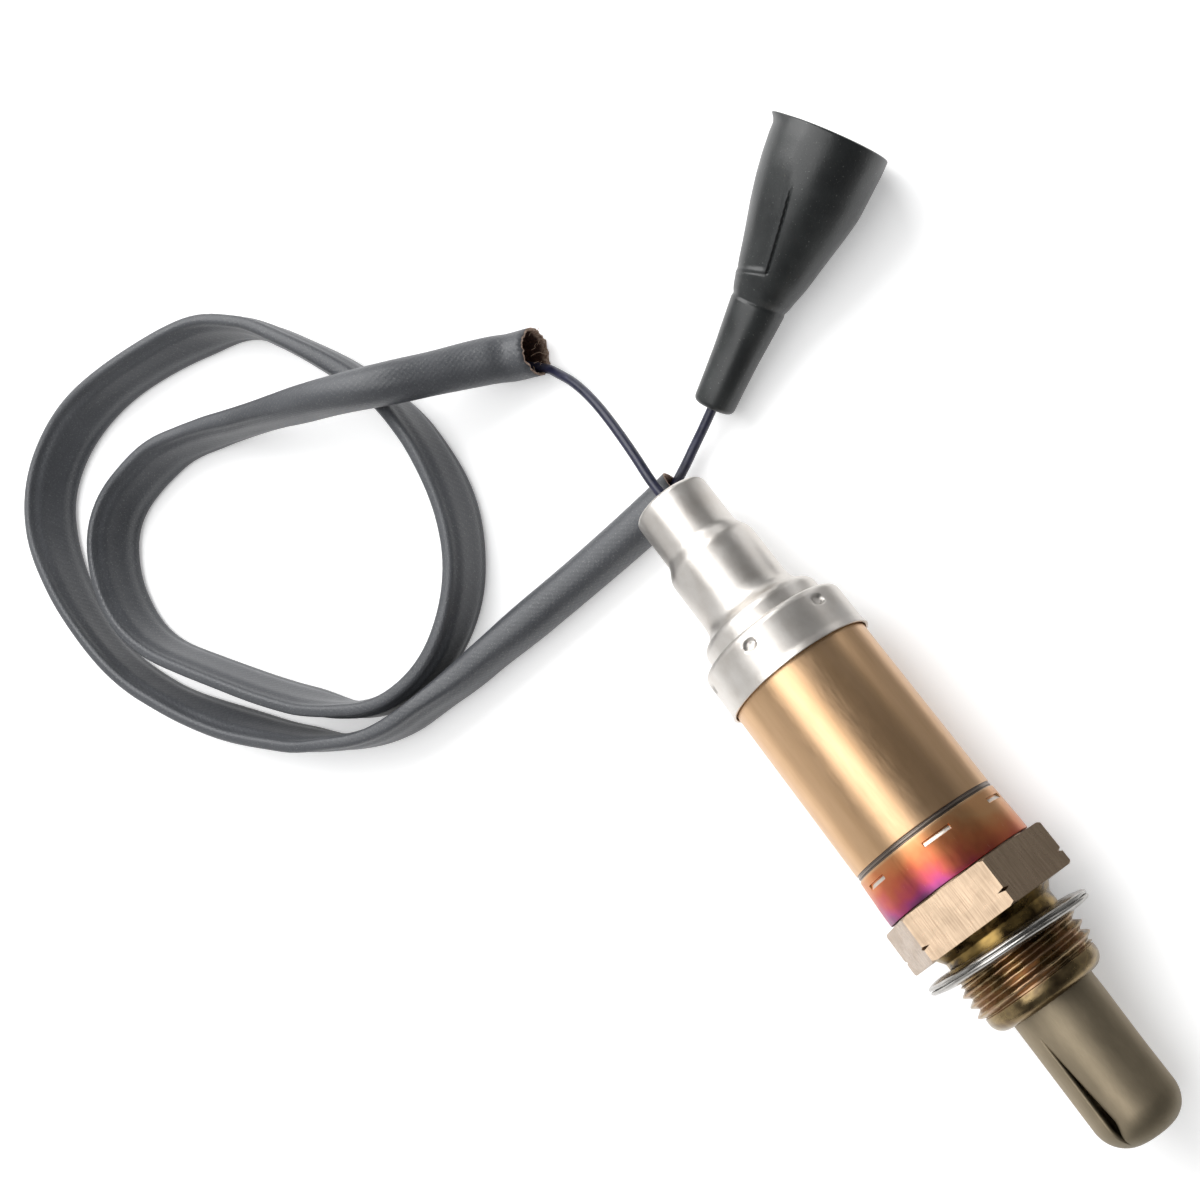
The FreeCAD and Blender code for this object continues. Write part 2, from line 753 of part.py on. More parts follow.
SLEEVING_ENDS = [(-87.0, -4.5, 3.6), (-56.5, -0.5, 3.4)]
SLEEVING_POINTS = [
    (-92.0, -14.0, 5.4),
    (-96.5, -22.5, 11.0),
    (-103.5, -34.0, 11.0),
    (-112.5, -48.0, 6.2),
    (-122.0, -61.0, 3.4),
    (-127.5, -73.5, 3.4),
    (-125.0, -85.5, 3.4),
    (-114.0, -91.5, 3.4),
    (-100.0, -88.5, 3.4),
    (-86.0, -79.5, 3.4),
    (-73.5, -70.0, 3.4),
    (-63.5, -59.5, 3.4),
    (-62.0, -48.5, 3.4),
    (-67.5, -37.5, 3.4),
    (-78.5, -30.5, 3.4),
    (-92.0, -28.5, 3.4),
    (-106.0, -31.0, 3.4),
    (-119.5, -36.0, 3.4),
    (-131.0, -43.5, 3.4),
    (-138.5, -55.5, 3.4),
    (-142.0, -70.5, 3.4),
    (-140.5, -85.5, 3.4),
    (-131.5, -97.0, 3.4),
    (-117.0, -101.0, 3.4),
    (-101.0, -98.0, 3.4),
    (-85.0, -90.0, 3.4),
    (-70.5, -79.0, 3.4),
    (-59.0, -67.0, 3.4),
    (-54.0, -52.0, 3.4),
    (-54.0, -36.0, 3.4),
    (-55.0, -20.0, 3.4),
    (-54.8, -8.0, 3.4),
]

# Points where the lead lies free, before and after the stretch inside the sleeving

LEAD_BEFORE = [(-69.0, 0.6, 8.0), (-77.0, 0.9, 3.8), (-84.2, 0.7, 1.2)]
LEAD_AFTER = [(-57.6, 4.4, 2.0)]


def smooth_path(points):
    """Straight runs joined by tangent arcs that are as large as the runs allow."""
    spots = [FreeCAD.Vector(*p) for p in points]
    edges, radii = [], []
    start = spots[0]
    for before, corner, after in zip(spots, spots[1:], spots[2:]):
        run_in, run_out = before - corner, after - corner
        half_turn = (math.pi - run_in.getAngle(run_out)) / 2
        reach = 0.45 * min(run_in.Length, run_out.Length)
        radii.append(reach / math.tan(half_turn))
        into = corner + run_in.normalize() * reach
        out = corner + run_out.normalize() * reach
        bisector = (into + out) * 0.5 - corner
        sagitta = radii[-1] * (1 / math.cos(half_turn) - 1)
        middle = corner + bisector.normalize() * sagitta
        edges.append(Part.LineSegment(start, into).toShape())
        edges.append(Part.Arc(into, middle, out).toShape())
        start = out
    edges.append(Part.LineSegment(start, spots[-1]).toShape())
    return Part.Wire(edges), radii


def cord(label, points, diameter, bore=0.0):
    """A plain round tube along a route, with a check of its volume and bends."""
    path, radii = smooth_path(points)
    start = FreeCAD.Vector(*points[0])
    heading = FreeCAD.Vector(*points[1]) - start
    solids = []
    for across in (diameter, bore):
        if across > 0:
            section = Part.Wire(Part.makeCircle(across / 2, start, heading))
            solids.append(path.makePipeShell([section], True, True))
    shape = solids[0] if len(solids) == 1 else solids[0].cut(solids[1])
    area = math.pi / 4 * (diameter**2 - bore**2)
    feature = doc.addObject("Part::Feature", label)
    feature.Label = label
    feature.Shape = shape
    feature.Placement = FreeCAD.Placement()
    print(f"{label}: {path.Length:.1f} mm long, tightest bend {min(radii):.1f} mm radius")
    print(f"{label}: volume {shape.Volume:.1f}, section times length {area * path.Length:.1f}")
    print(f"{label}: bends", " ".join(f"{r:.0f}" for r in radii))
    return feature


def lead_and_sleeving():
    """The lead starts in the crimp, lies in the bottom of the sleeving and ends in the boot."""
    wire, bore = size("wire_diameter"), size("sleeving_bore")
    drop = bore / 2 - wire / 2 - size("sleeving_gap")
    inside = [(x, y, z - drop) for x, y, z in SLEEVING_POINTS]
    start = (size(plus(SEAT_X, WIRE_START)), 0.0, size(AXIS_HEIGHT))
    straight = (size(minus(plus(SEAT_X, CAP_END), "lead_straight")), 0.0, size(AXIS_HEIGHT))
    into_boot = BOOT_START - BOOT_AXIS * size("boot_lead_in")
    lead_end = BOOT_START + BOOT_AXIS * size(plus("terminal_start", "terminal_barrel_length"))
    lead = [start, straight] + LEAD_BEFORE + inside + LEAD_AFTER + [tuple(into_boot), tuple(lead_end)]
    sleeving = [SLEEVING_ENDS[0]] + SLEEVING_POINTS + [SLEEVING_ENDS[1]]
    return [
        cord("lead_wire", lead, wire),
        cord("sleeving", sleeving, size("sleeving_diameter"), bore),
    ]


PARTS = [housing(), gasket(), guard_tube(), sensor_ceramic()]
PARTS += packing()
PARTS += [contact_element(), support_tube(), disc_spring(), protective_sleeve(), end_cap()]
PARTS += [insulating_bush(), terminal_crimp(), grommet()]
PARTS += [boot(), boot_terminal()]
PARTS += lead_and_sleeving()

doc.recompute()
for item in doc.Objects:
    if "Invalid" in item.State or "Error" in item.State:
        raise RuntimeError(f"{item.Label} failed: {item.State}")

os.makedirs("parts", exist_ok=True)
for part in PARTS:
    shape = part.Shape
    if shape.isNull() or not shape.isValid() or not shape.Solids:
        raise RuntimeError(f"{part.Label} has no valid solid")
    shape.exportStep(f"parts/{part.Label}.step")
    low, high = shape.BoundBox.ZMin, shape.BoundBox.ZMax
    print(f"{part.Label}: {len(shape.Solids)} solid, volume {shape.Volume:.1f}, z {low:.2f} to {high:.2f}")
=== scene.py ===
# %% [markdown]
# # An exhaust oxygen sensor on a table
#
# The part is a threaded steel sensor with a tinted sleeve, a stepped cap and one thin
# lead, which runs through a loop of coated braid into a rubber boot. Its solids come
# packed from the construction model. This script loads them as a fixed frame, dresses
# each visible piece with a detailed mesh and gives every surface its finish.

import math

import bmesh
import bpy
from mathutils import Color, Matrix, Vector, noise


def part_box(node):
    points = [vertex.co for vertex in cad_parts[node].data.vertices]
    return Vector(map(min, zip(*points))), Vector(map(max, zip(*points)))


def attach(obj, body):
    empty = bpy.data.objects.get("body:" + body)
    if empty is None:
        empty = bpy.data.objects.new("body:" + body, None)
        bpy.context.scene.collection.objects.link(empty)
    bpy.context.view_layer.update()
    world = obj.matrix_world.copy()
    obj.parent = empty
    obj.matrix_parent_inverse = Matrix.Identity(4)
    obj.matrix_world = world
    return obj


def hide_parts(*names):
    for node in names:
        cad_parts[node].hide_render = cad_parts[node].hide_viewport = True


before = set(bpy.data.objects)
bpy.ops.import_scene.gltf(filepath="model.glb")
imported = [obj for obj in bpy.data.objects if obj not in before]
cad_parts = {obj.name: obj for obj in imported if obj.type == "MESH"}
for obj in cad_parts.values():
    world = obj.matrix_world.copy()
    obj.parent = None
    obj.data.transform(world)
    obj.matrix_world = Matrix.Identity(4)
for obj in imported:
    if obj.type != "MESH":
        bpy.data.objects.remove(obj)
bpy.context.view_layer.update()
print("pieces of the construction model:", len(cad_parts))

# %% [markdown]
# ## Where the sensor lies
#
# Each piece of the sensor is turned about one axis, along X. It is easiest to model in
# millimetres along that axis, from the face where the hexagon seats on the pipe, and to
# move the finished mesh into the frame once. The place of that face could be typed in,
# but the frame already holds it: the cap's neck ends 71.5 mm behind it.

# %% The sensor's own axis
MM = 0.001
CAP_END = -71.5
CAP_LOW, CAP_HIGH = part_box("end_cap")
SEAT = Vector((CAP_LOW[0] - CAP_END * MM, 0.0, (CAP_LOW[2] + CAP_HIGH[2]) / 2))
SENSOR = Matrix.Translation(SEAT) @ Matrix.Scale(MM, 4)
print("seat of the hexagon in millimetres:", [round(value / MM, 2) for value in SEAT])

# %% [markdown]
# ## The camera
#
# The view is from high above the table, rolled so that the sensor runs from the middle
# to the lower right. The camera is aimed at a spot on the table, then turned about its
# own line of sight. A long lens would flatten the loop, so the lens stays near 46 mm.

# %% Set the camera
CAMERA_PLACE = Vector((21.83, 51.11, 212.2)) * MM
CAMERA_TARGET = Vector((-51.2274, -20.9433, 0.0)) * MM
CAMERA_ROLL = math.radians(-83.84)

lens = bpy.data.cameras.new("camera")
lens.lens = 46.35
lens.sensor_width = 36.0
lens.clip_start = 0.01
lens.clip_end = 20.0
camera = bpy.data.objects.new("camera", lens)
bpy.context.scene.collection.objects.link(camera)
bpy.context.scene.camera = camera
camera.location = CAMERA_PLACE
aim = (CAMERA_TARGET - CAMERA_PLACE).to_track_quat("-Z", "Y")
camera.rotation_euler = (aim.to_matrix() @ Matrix.Rotation(CAMERA_ROLL, 3, "Z")).to_euler()
bpy.context.scene.view_settings.view_transform = "Standard"
print("camera height above the table:", round(CAMERA_PLACE.z / MM), "mm")

# %% [markdown]
# ## Materials from nodes
#
# Every finish here is built from nodes, so a short helper adds a node and joins it in one
# step. A value that is the same all over goes on the shader's own socket, because that is
# where a material keeps it when it leaves this file. Patterns read the Object coordinate,
# which stays put on a piece however the piece is seen.

# %% Colours and new finishes
def ink(red, green, blue):
    """A colour as it looks on screen, 0 to 255, as the linear light that a node wants."""
    colour = Color((red / 255, green / 255, blue / 255)).from_srgb_to_scene_linear()
    return (colour.r, colour.g, colour.b, 1.0)


def grey(value):
    """A neutral tone in linear light."""
    return (value, value, value, 1.0)


def finish(name, colour, roughness, metallic=0.0, **sockets):
    """A new material and its shader, with plain values on the shader's own sockets."""
    made = bpy.data.materials.new(name)
    made.use_nodes = True
    shader = made.node_tree.nodes["Principled BSDF"]
    shader.inputs["Base Color"].default_value = colour
    shader.inputs["Roughness"].default_value = roughness
    shader.inputs["Metallic"].default_value = metallic
    for socket, value in sockets.items():
        shader.inputs[socket.replace("_", " ")].default_value = value
    made.diffuse_color = colour
    return made


print("mid grey in linear light:", round(ink(128, 128, 128)[0], 3))


# %% Nodes and their wires
def node(made, kind, wires=None, **settings):
    """Add a node. A wire is another node's socket or a plain value for an input."""
    new = made.node_tree.nodes.new("ShaderNode" + kind)
    for key, value in settings.items():
        setattr(new, key, value)
    for key, value in (wires or {}).items():
        if isinstance(value, bpy.types.NodeSocket):
            made.node_tree.links.new(value, new.inputs[key])
        else:
            new.inputs[key].default_value = value
    return new


def wire_up(made, socket, source):
    """Feed one of the shader's sockets."""
    made.node_tree.links.new(source, made.node_tree.nodes["Principled BSDF"].inputs[socket])


def ramp(made, factor, stops):
    """A colour ramp with its stops as (position, colour)."""
    new = node(made, "ValToRGB", {"Fac": factor})
    band = new.color_ramp
    band.elements[0].position, band.elements[0].color = stops[0]
    band.elements[1].position, band.elements[1].color = stops[-1]
    for position, colour in stops[1:-1]:
        band.elements.new(position).color = colour
    return new.outputs["Color"]


def blend(made, factor, first, second):
    """Mix two colours, each a socket or a plain colour."""
    return node(made, "Mix", {0: factor, 6: first, 7: second}, data_type="RGBA").outputs[2]


def maths(made, operation, first, second=0.0):
    """One step of arithmetic on sockets or numbers."""
    return node(made, "Math", {0: first, 1: second}, operation=operation).outputs[0]


def spread(made, value, low, high, out_low=0.0, out_high=1.0):
    """Stretch a value's range onto another, clamped at both ends."""
    wires = {"Value": value, "From Min": low, "From Max": high, "To Min": out_low, "To Max": out_high}
    return node(made, "MapRange", wires).outputs["Result"]


print("node helpers are ready")


# %% Patterns, gloss and relief
def sensor_place(made):
    """Object coordinates in millimetres along and about the sensor's axis."""
    where = node(made, "TexCoord").outputs["Object"]
    wires = {"Vector": where, "Location": -SEAT / MM, "Scale": (1 / MM,) * 3}
    return node(made, "Mapping", wires, vector_type="POINT").outputs["Vector"]


def speckle(made, place, scale, detail=4.0, roughness=0.6):
    """Noise on a place whose axes are stretched by scale."""
    stretched = node(made, "VectorMath", {0: place, 1: scale}, operation="MULTIPLY").outputs[0]
    wires = {"Vector": stretched, "Scale": 1.0, "Detail": detail, "Roughness": roughness}
    return node(made, "TexNoise", wires).outputs["Fac"]


def two_tones(made, pattern, dark, light):
    """Let a noise pattern move a colour between a dark and a light tone."""
    return ramp(made, pattern, [(0.3, dark), (0.7, light)])


def vary_gloss(made, pattern, low, high):
    """Let a noise pattern move the roughness between two values."""
    wire_up(made, "Roughness", spread(made, pattern, 0.3, 0.7, low, high))


def relief(made, height, depth, strength=1.0):
    """Let a height stand out of the surface by up to a depth in metres."""
    wires = {"Height": height, "Distance": depth, "Strength": strength}
    wire_up(made, "Normal", node(made, "Bump", wires).outputs["Normal"])


print("pattern helpers are ready")


# %% Helpers for objects
def in_scene(name, data):
    """A new object with its data, linked into the scene."""
    thing = bpy.data.objects.new(name, data)
    bpy.context.scene.collection.objects.link(thing)
    return thing


def object_of(shape, name):
    """An object with a mesh that takes over the shape."""
    mesh = bpy.data.meshes.new(name)
    shape.to_mesh(mesh)
    shape.free()
    return in_scene(name, mesh)


# %% [markdown]
# ## Floor and light
#
# Round bright metal shows the room more than its own colour, so the room is laid out
# first. One long soft lamp almost overhead draws the broad bright streak along the sleeve,
# and a wide weak one low on the -Y side lights the left flank. A third lamp at the -X end
# lights the steps of the cap and one side of the rubber boot. A dark card and a dark mat
# on the +Y side give the brown flank that the metal has there. Both are set to show only
# in reflections, as real ones would be kept out of the picture. The floor is pale and
# catches soft shadows. It glows a little towards the camera and in reflections, so that
# it comes out white there without more light on the sensor.

# %% Floor, card and lamps
def flat_stage(name, corners, colour, roughness):
    """A flat sheet of the surroundings, from its corners in metres."""
    flat = bmesh.new()
    flat.faces.new([flat.verts.new(corner) for corner in corners])
    thing = object_of(flat, name)
    thing.data.materials.append(finish(name + "_paint", colour, roughness))
    return thing


def soft_lamp(name, tilt, distance, across, along, watts, heading=0.0, aside=0.0):
    """An oblong lamp over the table, tilted from straight above towards -Y or, turned, -X."""
    light = bpy.data.lights.new(name, "AREA")
    light.shape = "RECTANGLE"
    light.size = along
    light.size_y = across
    light.energy = watts
    turn = Matrix.Rotation(math.radians(heading), 4, "Z") @ Matrix.Rotation(math.radians(tilt), 4, "X")
    in_scene(name, light).matrix_world = turn @ Matrix.Translation((aside, 0.0, distance))


FLOOR = 3.0
FLOOR_CORNERS = [(-FLOOR, -FLOOR, 0.0), (FLOOR, -FLOOR, 0.0), (FLOOR, FLOOR, 0.0), (-FLOOR, FLOOR, 0.0)]
FLOOR_GLOW = 0.34
paint = flat_stage("floor", FLOOR_CORNERS, grey(0.93), 0.9).data.materials[0]
ray = node(paint, "LightPath").outputs
seen = maths(paint, "MAXIMUM", ray["Is Camera Ray"], ray["Is Glossy Ray"])
seen = maths(paint, "MAXIMUM", seen, ray["Is Transmission Ray"])
wire_up(paint, "Emission Strength", maths(paint, "MULTIPLY", seen, FLOOR_GLOW))
paint.node_tree.nodes["Principled BSDF"].inputs["Emission Color"].default_value = grey(1.0)

CARD_CORNERS = [(1.6, 0.95, 0.0), (-1.6, 0.95, 0.0), (-1.6, 0.62, 1.05), (1.6, 0.62, 1.05)]
MAT = 0.0004
MAT_CORNERS = [(1.6, 0.95, MAT), (-0.045, 0.95, MAT), (-0.045, 0.02, MAT), (1.6, 0.02, MAT)]
for name, corners, tone in (("dark_card", CARD_CORNERS, 0.17), ("dark_mat", MAT_CORNERS, 0.32)):
    screen = flat_stage(name, corners, grey(tone), 1.0)
    screen.visible_camera = False
    screen.visible_diffuse = False
    screen.visible_shadow = False

soft_lamp("key_lamp", tilt=10.0, distance=0.9, across=0.6, along=1.05, watts=5.0, aside=-0.22)
soft_lamp("flank_lamp", tilt=68.0, distance=1.2, across=0.8, along=2.4, watts=3.4)
soft_lamp("end_lamp", tilt=52.0, distance=1.0, across=0.8, along=0.9, watts=8.0, heading=-90.0)

world = bpy.data.worlds.new("studio")
bpy.context.scene.world = world
world.use_nodes = True
sky = world.node_tree.nodes["Background"].inputs
sky["Color"].default_value = (0.97, 0.985, 1.0, 1.0)
sky["Strength"].default_value = 0.18

# %% [markdown]
# ## The route of a cord
#
# A cord is best laid out as a curve: a NURBS line of third order turns a few chosen points
# into one smooth run that bends as evenly as a real cord does. The braid has the longer
# route, two loops on the table, so it comes first, and the lead inside it follows.

# %% Route of the braid
BRAID_START = (-87.0, -4.3, 3.6)
BRAID_END = (-54.5, 0.35, 3.4)
BRAID_POINTS = [
    (-91.0, -10.8, 5.2),
    (-94.2, -18.5, 9.6),
    (-97.3, -25.2, 13.1),
    (-102.7, -33.5, 12.9),
    (-112.4, -46.8, 6.8),
    (-121.5, -62.0, 4.3),
    (-123.9, -70.4, 4.3),
    (-122.9, -83.8, 4.3),
    (-112.3, -90.6, 4.3),
    (-99.5, -90.9, 4.3),
    (-86.5, -82.3, 4.3),
    (-73.0, -72.8, 4.3),
    (-60.6, -61.5, 4.3),
    (-59.1, -48.1, 4.3),
    (-65.3, -36.3, 4.3),
    (-76.9, -29.0, 3.9),
    (-92.0, -27.1, 3.4),
    (-103.8, -29.6, 3.4),
    (-115.8, -34.2, 3.9),
    (-128.9, -40.9, 4.3),
    (-136.0, -51.9, 4.3),
    (-141.9, -71.8, 4.3),
    (-140.8, -85.9, 4.3),
    (-132.1, -96.2, 4.3),
    (-116.0, -99.6, 4.3),
    (-98.8, -97.9, 4.3),
    (-82.0, -89.0, 4.3),
    (-64.0, -73.5, 4.3),
    (-56.8, -62.4, 4.3),
    (-55.6, -48.8, 4.2),
    (-55.2, -33.1, 3.9),
    (-54.5, -18.0, 3.6),
    (-54.25, -6.0, 3.4),
]


def route(name, points):
    """A smooth open curve with the points as its control points, given in millimetres."""
    line = bpy.data.curves.new(name, "CURVE")
    line.dimensions = "3D"
    spline = line.splines.new("NURBS")
    spline.points.add(len(points) - 1)
    for spot, point in zip(spline.points, points):
        spot.co = (point[0] * MM, point[1] * MM, point[2] * MM, 1.0)
    spline.order_u = 3
    spline.use_endpoint_u = True
    spline.resolution_u = 12
    return in_scene(name, line)


def walk(curve):
    """The points along a curve that has no bevel, and how far along each one lies."""
    bpy.context.view_layer.update()
    line = bpy.data.meshes.new_from_object(curve)
    spots = [vertex.co.copy() for vertex in line.vertices]
    bpy.data.meshes.remove(line)
    reach = [0.0]
    for before, after in zip(spots, spots[1:]):
        reach.append(reach[-1] + (after - before).length)
    return spots, reach


print("points on the braid's route:", len(BRAID_POINTS) + 2)

# %% [markdown]
# ## The braided sleeving
#
# The sleeving is a limp tube of coated glass braid. Where it lies in the loop it has
# collapsed and stands on its edge, and it opens to a round tube at both cut ends. A curve
# with a bevel keeps one section all the way, so the tube starts as a straight open cone
# with equal ends, cut into rings by subdivision. Each ring then takes its own section and
# its place on the route. A Solidify modifier gives the wall, with the bare brown weave as
# a second finish inside and on the cut.

# %% Shape of the braid along its length
BRAID_WALL = 0.4
BRAID_SIDES = 56
BRAID_SECTIONS = [
    (0.0, 7.55, 7.3, 0.0),
    (9.0, 7.3, 7.25, 0.0),
    (18.0, 6.85, 7.15, 0.0),
    (40.0, 5.6, 7.6, 8.0),
    (55.0, 4.4, 8.4, 6.0),
    (70.0, 3.5, 9.0, 13.0),
    (80.0, 3.2, 9.2, 22.0),
    (92.0, 3.1, 9.2, 27.0),
    (106.0, 3.1, 9.2, 21.0),
    (120.0, 3.1, 9.2, 14.0),
    (150.0, 3.1, 9.2, 18.0),
    (162.0, 3.2, 9.1, 0.0),
    (176.0, 3.3, 9.0, -1.0),
    (194.0, 3.4, 8.9, -10.0),
    (206.0, 3.4, 8.9, -17.0),
    (218.0, 3.4, 8.9, -11.0),
    (233.0, 4.2, 7.6, 0.0),
    (250.0, 3.4, 8.9, 0.0),
    (258.0, 3.1, 9.2, 5.0),
    (270.0, 3.1, 9.2, 24.0),
    (286.0, 3.1, 9.2, 21.0),
    (304.0, 3.1, 9.2, 33.0),
    (318.0, 3.1, 9.2, 24.0),
    (332.0, 3.1, 9.2, 12.0),
    (346.0, 3.1, 9.2, 6.0),
    (360.0, 3.1, 9.2, 13.0),
    (377.0, 3.1, 9.2, 25.0),
    (390.0, 3.1, 9.2, 17.0),
    (401.0, 3.1, 9.2, 0.0),
    (414.0, 3.9, 8.7, -4.0),
    (428.0, 5.4, 7.7, -2.0),
    (441.0, 6.3, 7.1, -6.0),
    (480.0, 6.5, 7.0, -6.0),
]
CREASE_PLACE, CREASE_WIDTH, CREASE_DEPTH = 0.7, 0.17, 0.24
FACE_HOLLOW, HOLLOW_REACH = 0.2, 0.8
FULLY_FLAT = 0.44
SQUARENESS = 1.4


def ease(amount):
    """A smooth step from 0 to 1."""
    amount = min(max(amount, 0.0), 1.0)
    return amount * amount * (3.0 - 2.0 * amount)


def section_at(distance):
    """Width, height and lean of the braid at a distance along it, in mm and degrees."""
    for before, after in zip(BRAID_SECTIONS, BRAID_SECTIONS[1:]):
        if distance <= after[0]:
            share = ease((distance - before[0]) / (after[0] - before[0]))
            return [a + (b - a) * share for a, b in zip(before[1:], after[1:])]
    return list(BRAID_SECTIONS[-1][1:])


def section_point(turn, width, height):
    """A point of the section at a turn: round where open, creased beside its folds where flat."""
    narrow = 1.0 - min(width, height) / max(width, height)
    power = 2.0 / (2.0 + SQUARENESS * narrow)
    across, rise = math.cos(turn), math.sin(turn)
    across = math.copysign(abs(across) ** power, across)
    rise = math.copysign(abs(rise) ** power, rise)
    crease = math.exp(-((abs(rise) - CREASE_PLACE) / CREASE_WIDTH) ** 2)
    hollow = ease(1.0 - abs(rise) / HOLLOW_REACH)
    across *= 1.0 - narrow ** 2 * (CREASE_DEPTH * crease + FACE_HOLLOW * hollow) / FULLY_FLAT
    return width / 2 * across, height / 2 * rise


print("height of the braid in the loop:", section_at(100.0)[1], "mm")


# %% Bend a straight tube onto the route
def place_on(spots, reach, distance):
    """The spot and the heading at a distance along a route, in metres."""
    index = 1
    while index < len(reach) - 1 and reach[index] < distance:
        index += 1
    share = (distance - reach[index - 1]) / max(reach[index] - reach[index - 1], 1e-9)
    spot = spots[index - 1].lerp(spots[index], share)
    behind = spots[max(index - 2, 0)]
    ahead = spots[min(index + 1, len(spots) - 1)]
    return spot, (ahead - behind).normalized()


ON_TABLE = 4.3
WOBBLE_SIZE, WOBBLE = 0.09, 0.022
CUT_SLANT, CUT_BACK, CUT_REACH = 2.5, 1.1, 9.0
RAGGED_SIZE, RAGGED_SEED, CUT_RAGGED = 1.6, 7.0, 0.5


def straight_tube(length, sides, rings, label):
    """An open tube of unit radius along Z with a map of turns and millimetres."""
    tube = bmesh.new()
    raised = Matrix.Translation((0.0, 0.0, length / 2))
    bmesh.ops.create_cone(tube, segments=sides, radius1=1.0, radius2=1.0, depth=length, matrix=raised)
    lengthwise = [edge for edge in tube.edges if edge.calc_length() > length / 2]
    bmesh.ops.subdivide_edges(tube, edges=lengthwise, cuts=rings - 1, use_grid_fill=True)
    layer = tube.loops.layers.uv.new(label)
    for face in tube.faces:
        turns = [math.atan2(loop.vert.co.y, loop.vert.co.x) / (2 * math.pi) % 1.0 for loop in face.loops]
        wraps = max(turns) - min(turns) > 0.5
        for loop, turn in zip(face.loops, turns):
            loop[layer].uv = (turn + (1.0 if wraps and turn < 0.5 else 0.0), loop.vert.co.z)
    return tube


def ripple(place, size, amount):
    """A small smooth unevenness that depends only on the place."""
    return noise.noise(Vector(place) * size) * amount


def bend_onto(tube, spots, reach, spacing):
    """Give each ring its section, lean and unevenness, square to the route and on the table."""
    rings = {}
    for corner in tube.verts:
        rings.setdefault(round(corner.co.z / spacing), []).append(corner)
    for index, ring in rings.items():
        distance = index * spacing
        spot, ahead = place_on(spots, reach, distance * MM)
        side = ahead.cross(Vector((0.0, 0.0, 1.0))).normalized()
        above = side.cross(ahead).normalized()
        width, height, lean = section_at(distance)
        leaned = Matrix.Rotation(math.radians(lean), 3, ahead)
        for corner in ring:
            across, rise = section_point(math.atan2(corner.co.y, corner.co.x), width, height)
            wobble = 1.0 + ripple((distance, across, rise), WOBBLE_SIZE, WOBBLE)
            ragged = ripple((across, rise, RAGGED_SEED), RAGGED_SIZE, CUT_RAGGED)
            cut = CUT_SLANT * (0.5 - rise / height) - CUT_BACK + ragged
            back = cut * ease(1.0 - distance / CUT_REACH)
            corner.co = spot + (leaned @ (side * across + above * rise) * wobble - ahead * back) * MM
        lowest = min(corner.co.z for corner in ring)
        lift = ease((spot.z / MM - ON_TABLE) / 1.0)
        for corner in ring:
            corner.co.z -= lowest - max(lowest, 0.0) * lift


braid_line = route("braid_line", [BRAID_START] + BRAID_POINTS + [BRAID_END])
BRAID_SPOTS, BRAID_REACH = walk(braid_line)
bpy.data.objects.remove(braid_line)
BRAID_LENGTH = BRAID_REACH[-1]
RING_SPACING = 1.5
BRAID_RINGS = round(BRAID_LENGTH / MM / RING_SPACING)
print("braid length in metres:", round(BRAID_LENGTH, 4), "rings:", BRAID_RINGS)

# %% Make the braid
braid_mesh = straight_tube(BRAID_LENGTH / MM, BRAID_SIDES, BRAID_RINGS, "weave")
bend_onto(braid_mesh, BRAID_SPOTS, BRAID_REACH, BRAID_LENGTH / MM / BRAID_RINGS)
bmesh.ops.recalc_face_normals(braid_mesh, faces=braid_mesh.faces)


def settle(shape, name, finishes, replaced, sharp_from=35.0):
    """Make a mesh in the frame's metres an object that rides on the body and covers its solid."""
    thing = object_of(shape, name)
    for made in finishes:
        thing.data.materials.append(made)
    thing.data.shade_smooth()
    thing.data.set_sharp_from_angle(angle=math.radians(sharp_from))
    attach(thing, "root")
    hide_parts(replaced)
    print(name, "has", len(thing.data.polygons), "faces")
    return thing


# %% [markdown]
# ## Coating and bare weave
#
# Outside, the braid is soaked in a grey coating that fills the weave, so only a faint
# pattern of crossed strands and a few glints of glass are left; the glints are painted
# highlights, pale specks in the base colour. Two sine waves that run round the tube both
# ways give the crossings from the tube's own map, which follows every bend, where a
# picture would smear. Inside and on the cuts the brown fibre is bare, and it goes pale
# within a millimetre of a cut, where it frays.

# %% Finish of the braid
STRANDS_AROUND, STRANDS_PER_MM = 24.0, 0.9
RIM_START, RIM_END = 0.3, 1.1
BRAID_MM = BRAID_LENGTH / MM

coating = finish("grey_braid_coating", ink(78, 80, 84), 0.45, Specular_IOR_Level=0.6)
weave_map = node(coating, "UVMap", uv_map="weave").outputs["UV"]
weave_place = node(coating, "TexCoord").outputs["Object"]
fine = speckle(coating, weave_place, (4200.0, 4200.0, 4200.0), detail=2.0)
broad = speckle(coating, weave_place, (60.0, 60.0, 60.0), detail=3.0)
coat_tone = two_tones(coating, broad, ink(70, 72, 76), ink(84, 86, 90))
# Painted highlights: pale specks mixed into the base colour stand for glints of glass.
painted_glints = maths(coating, "MULTIPLY", ramp(coating, fine, [(0.58, grey(0.0)), (0.72, grey(1.0))]), 0.35)
wire_up(coating, "Base Color", blend(coating, painted_glints, coat_tone, ink(150, 152, 150)))
vary_gloss(coating, broad, 0.36, 0.5)
turns_and_length = node(coating, "SeparateXYZ", {"Vector": weave_map}).outputs
around = maths(coating, "MULTIPLY", turns_and_length["X"], STRANDS_AROUND * 2 * math.pi)
along = maths(coating, "MULTIPLY", turns_and_length["Y"], STRANDS_PER_MM * 2 * math.pi)
left_hand = maths(coating, "SINE", maths(coating, "ADD", around, along))
right_hand = maths(coating, "SINE", maths(coating, "SUBTRACT", around, along))
crossings = maths(coating, "MULTIPLY", maths(coating, "ADD", left_hand, right_hand), 0.18)
relief(coating, maths(coating, "ADD", crossings, fine), 0.00006, 0.5)

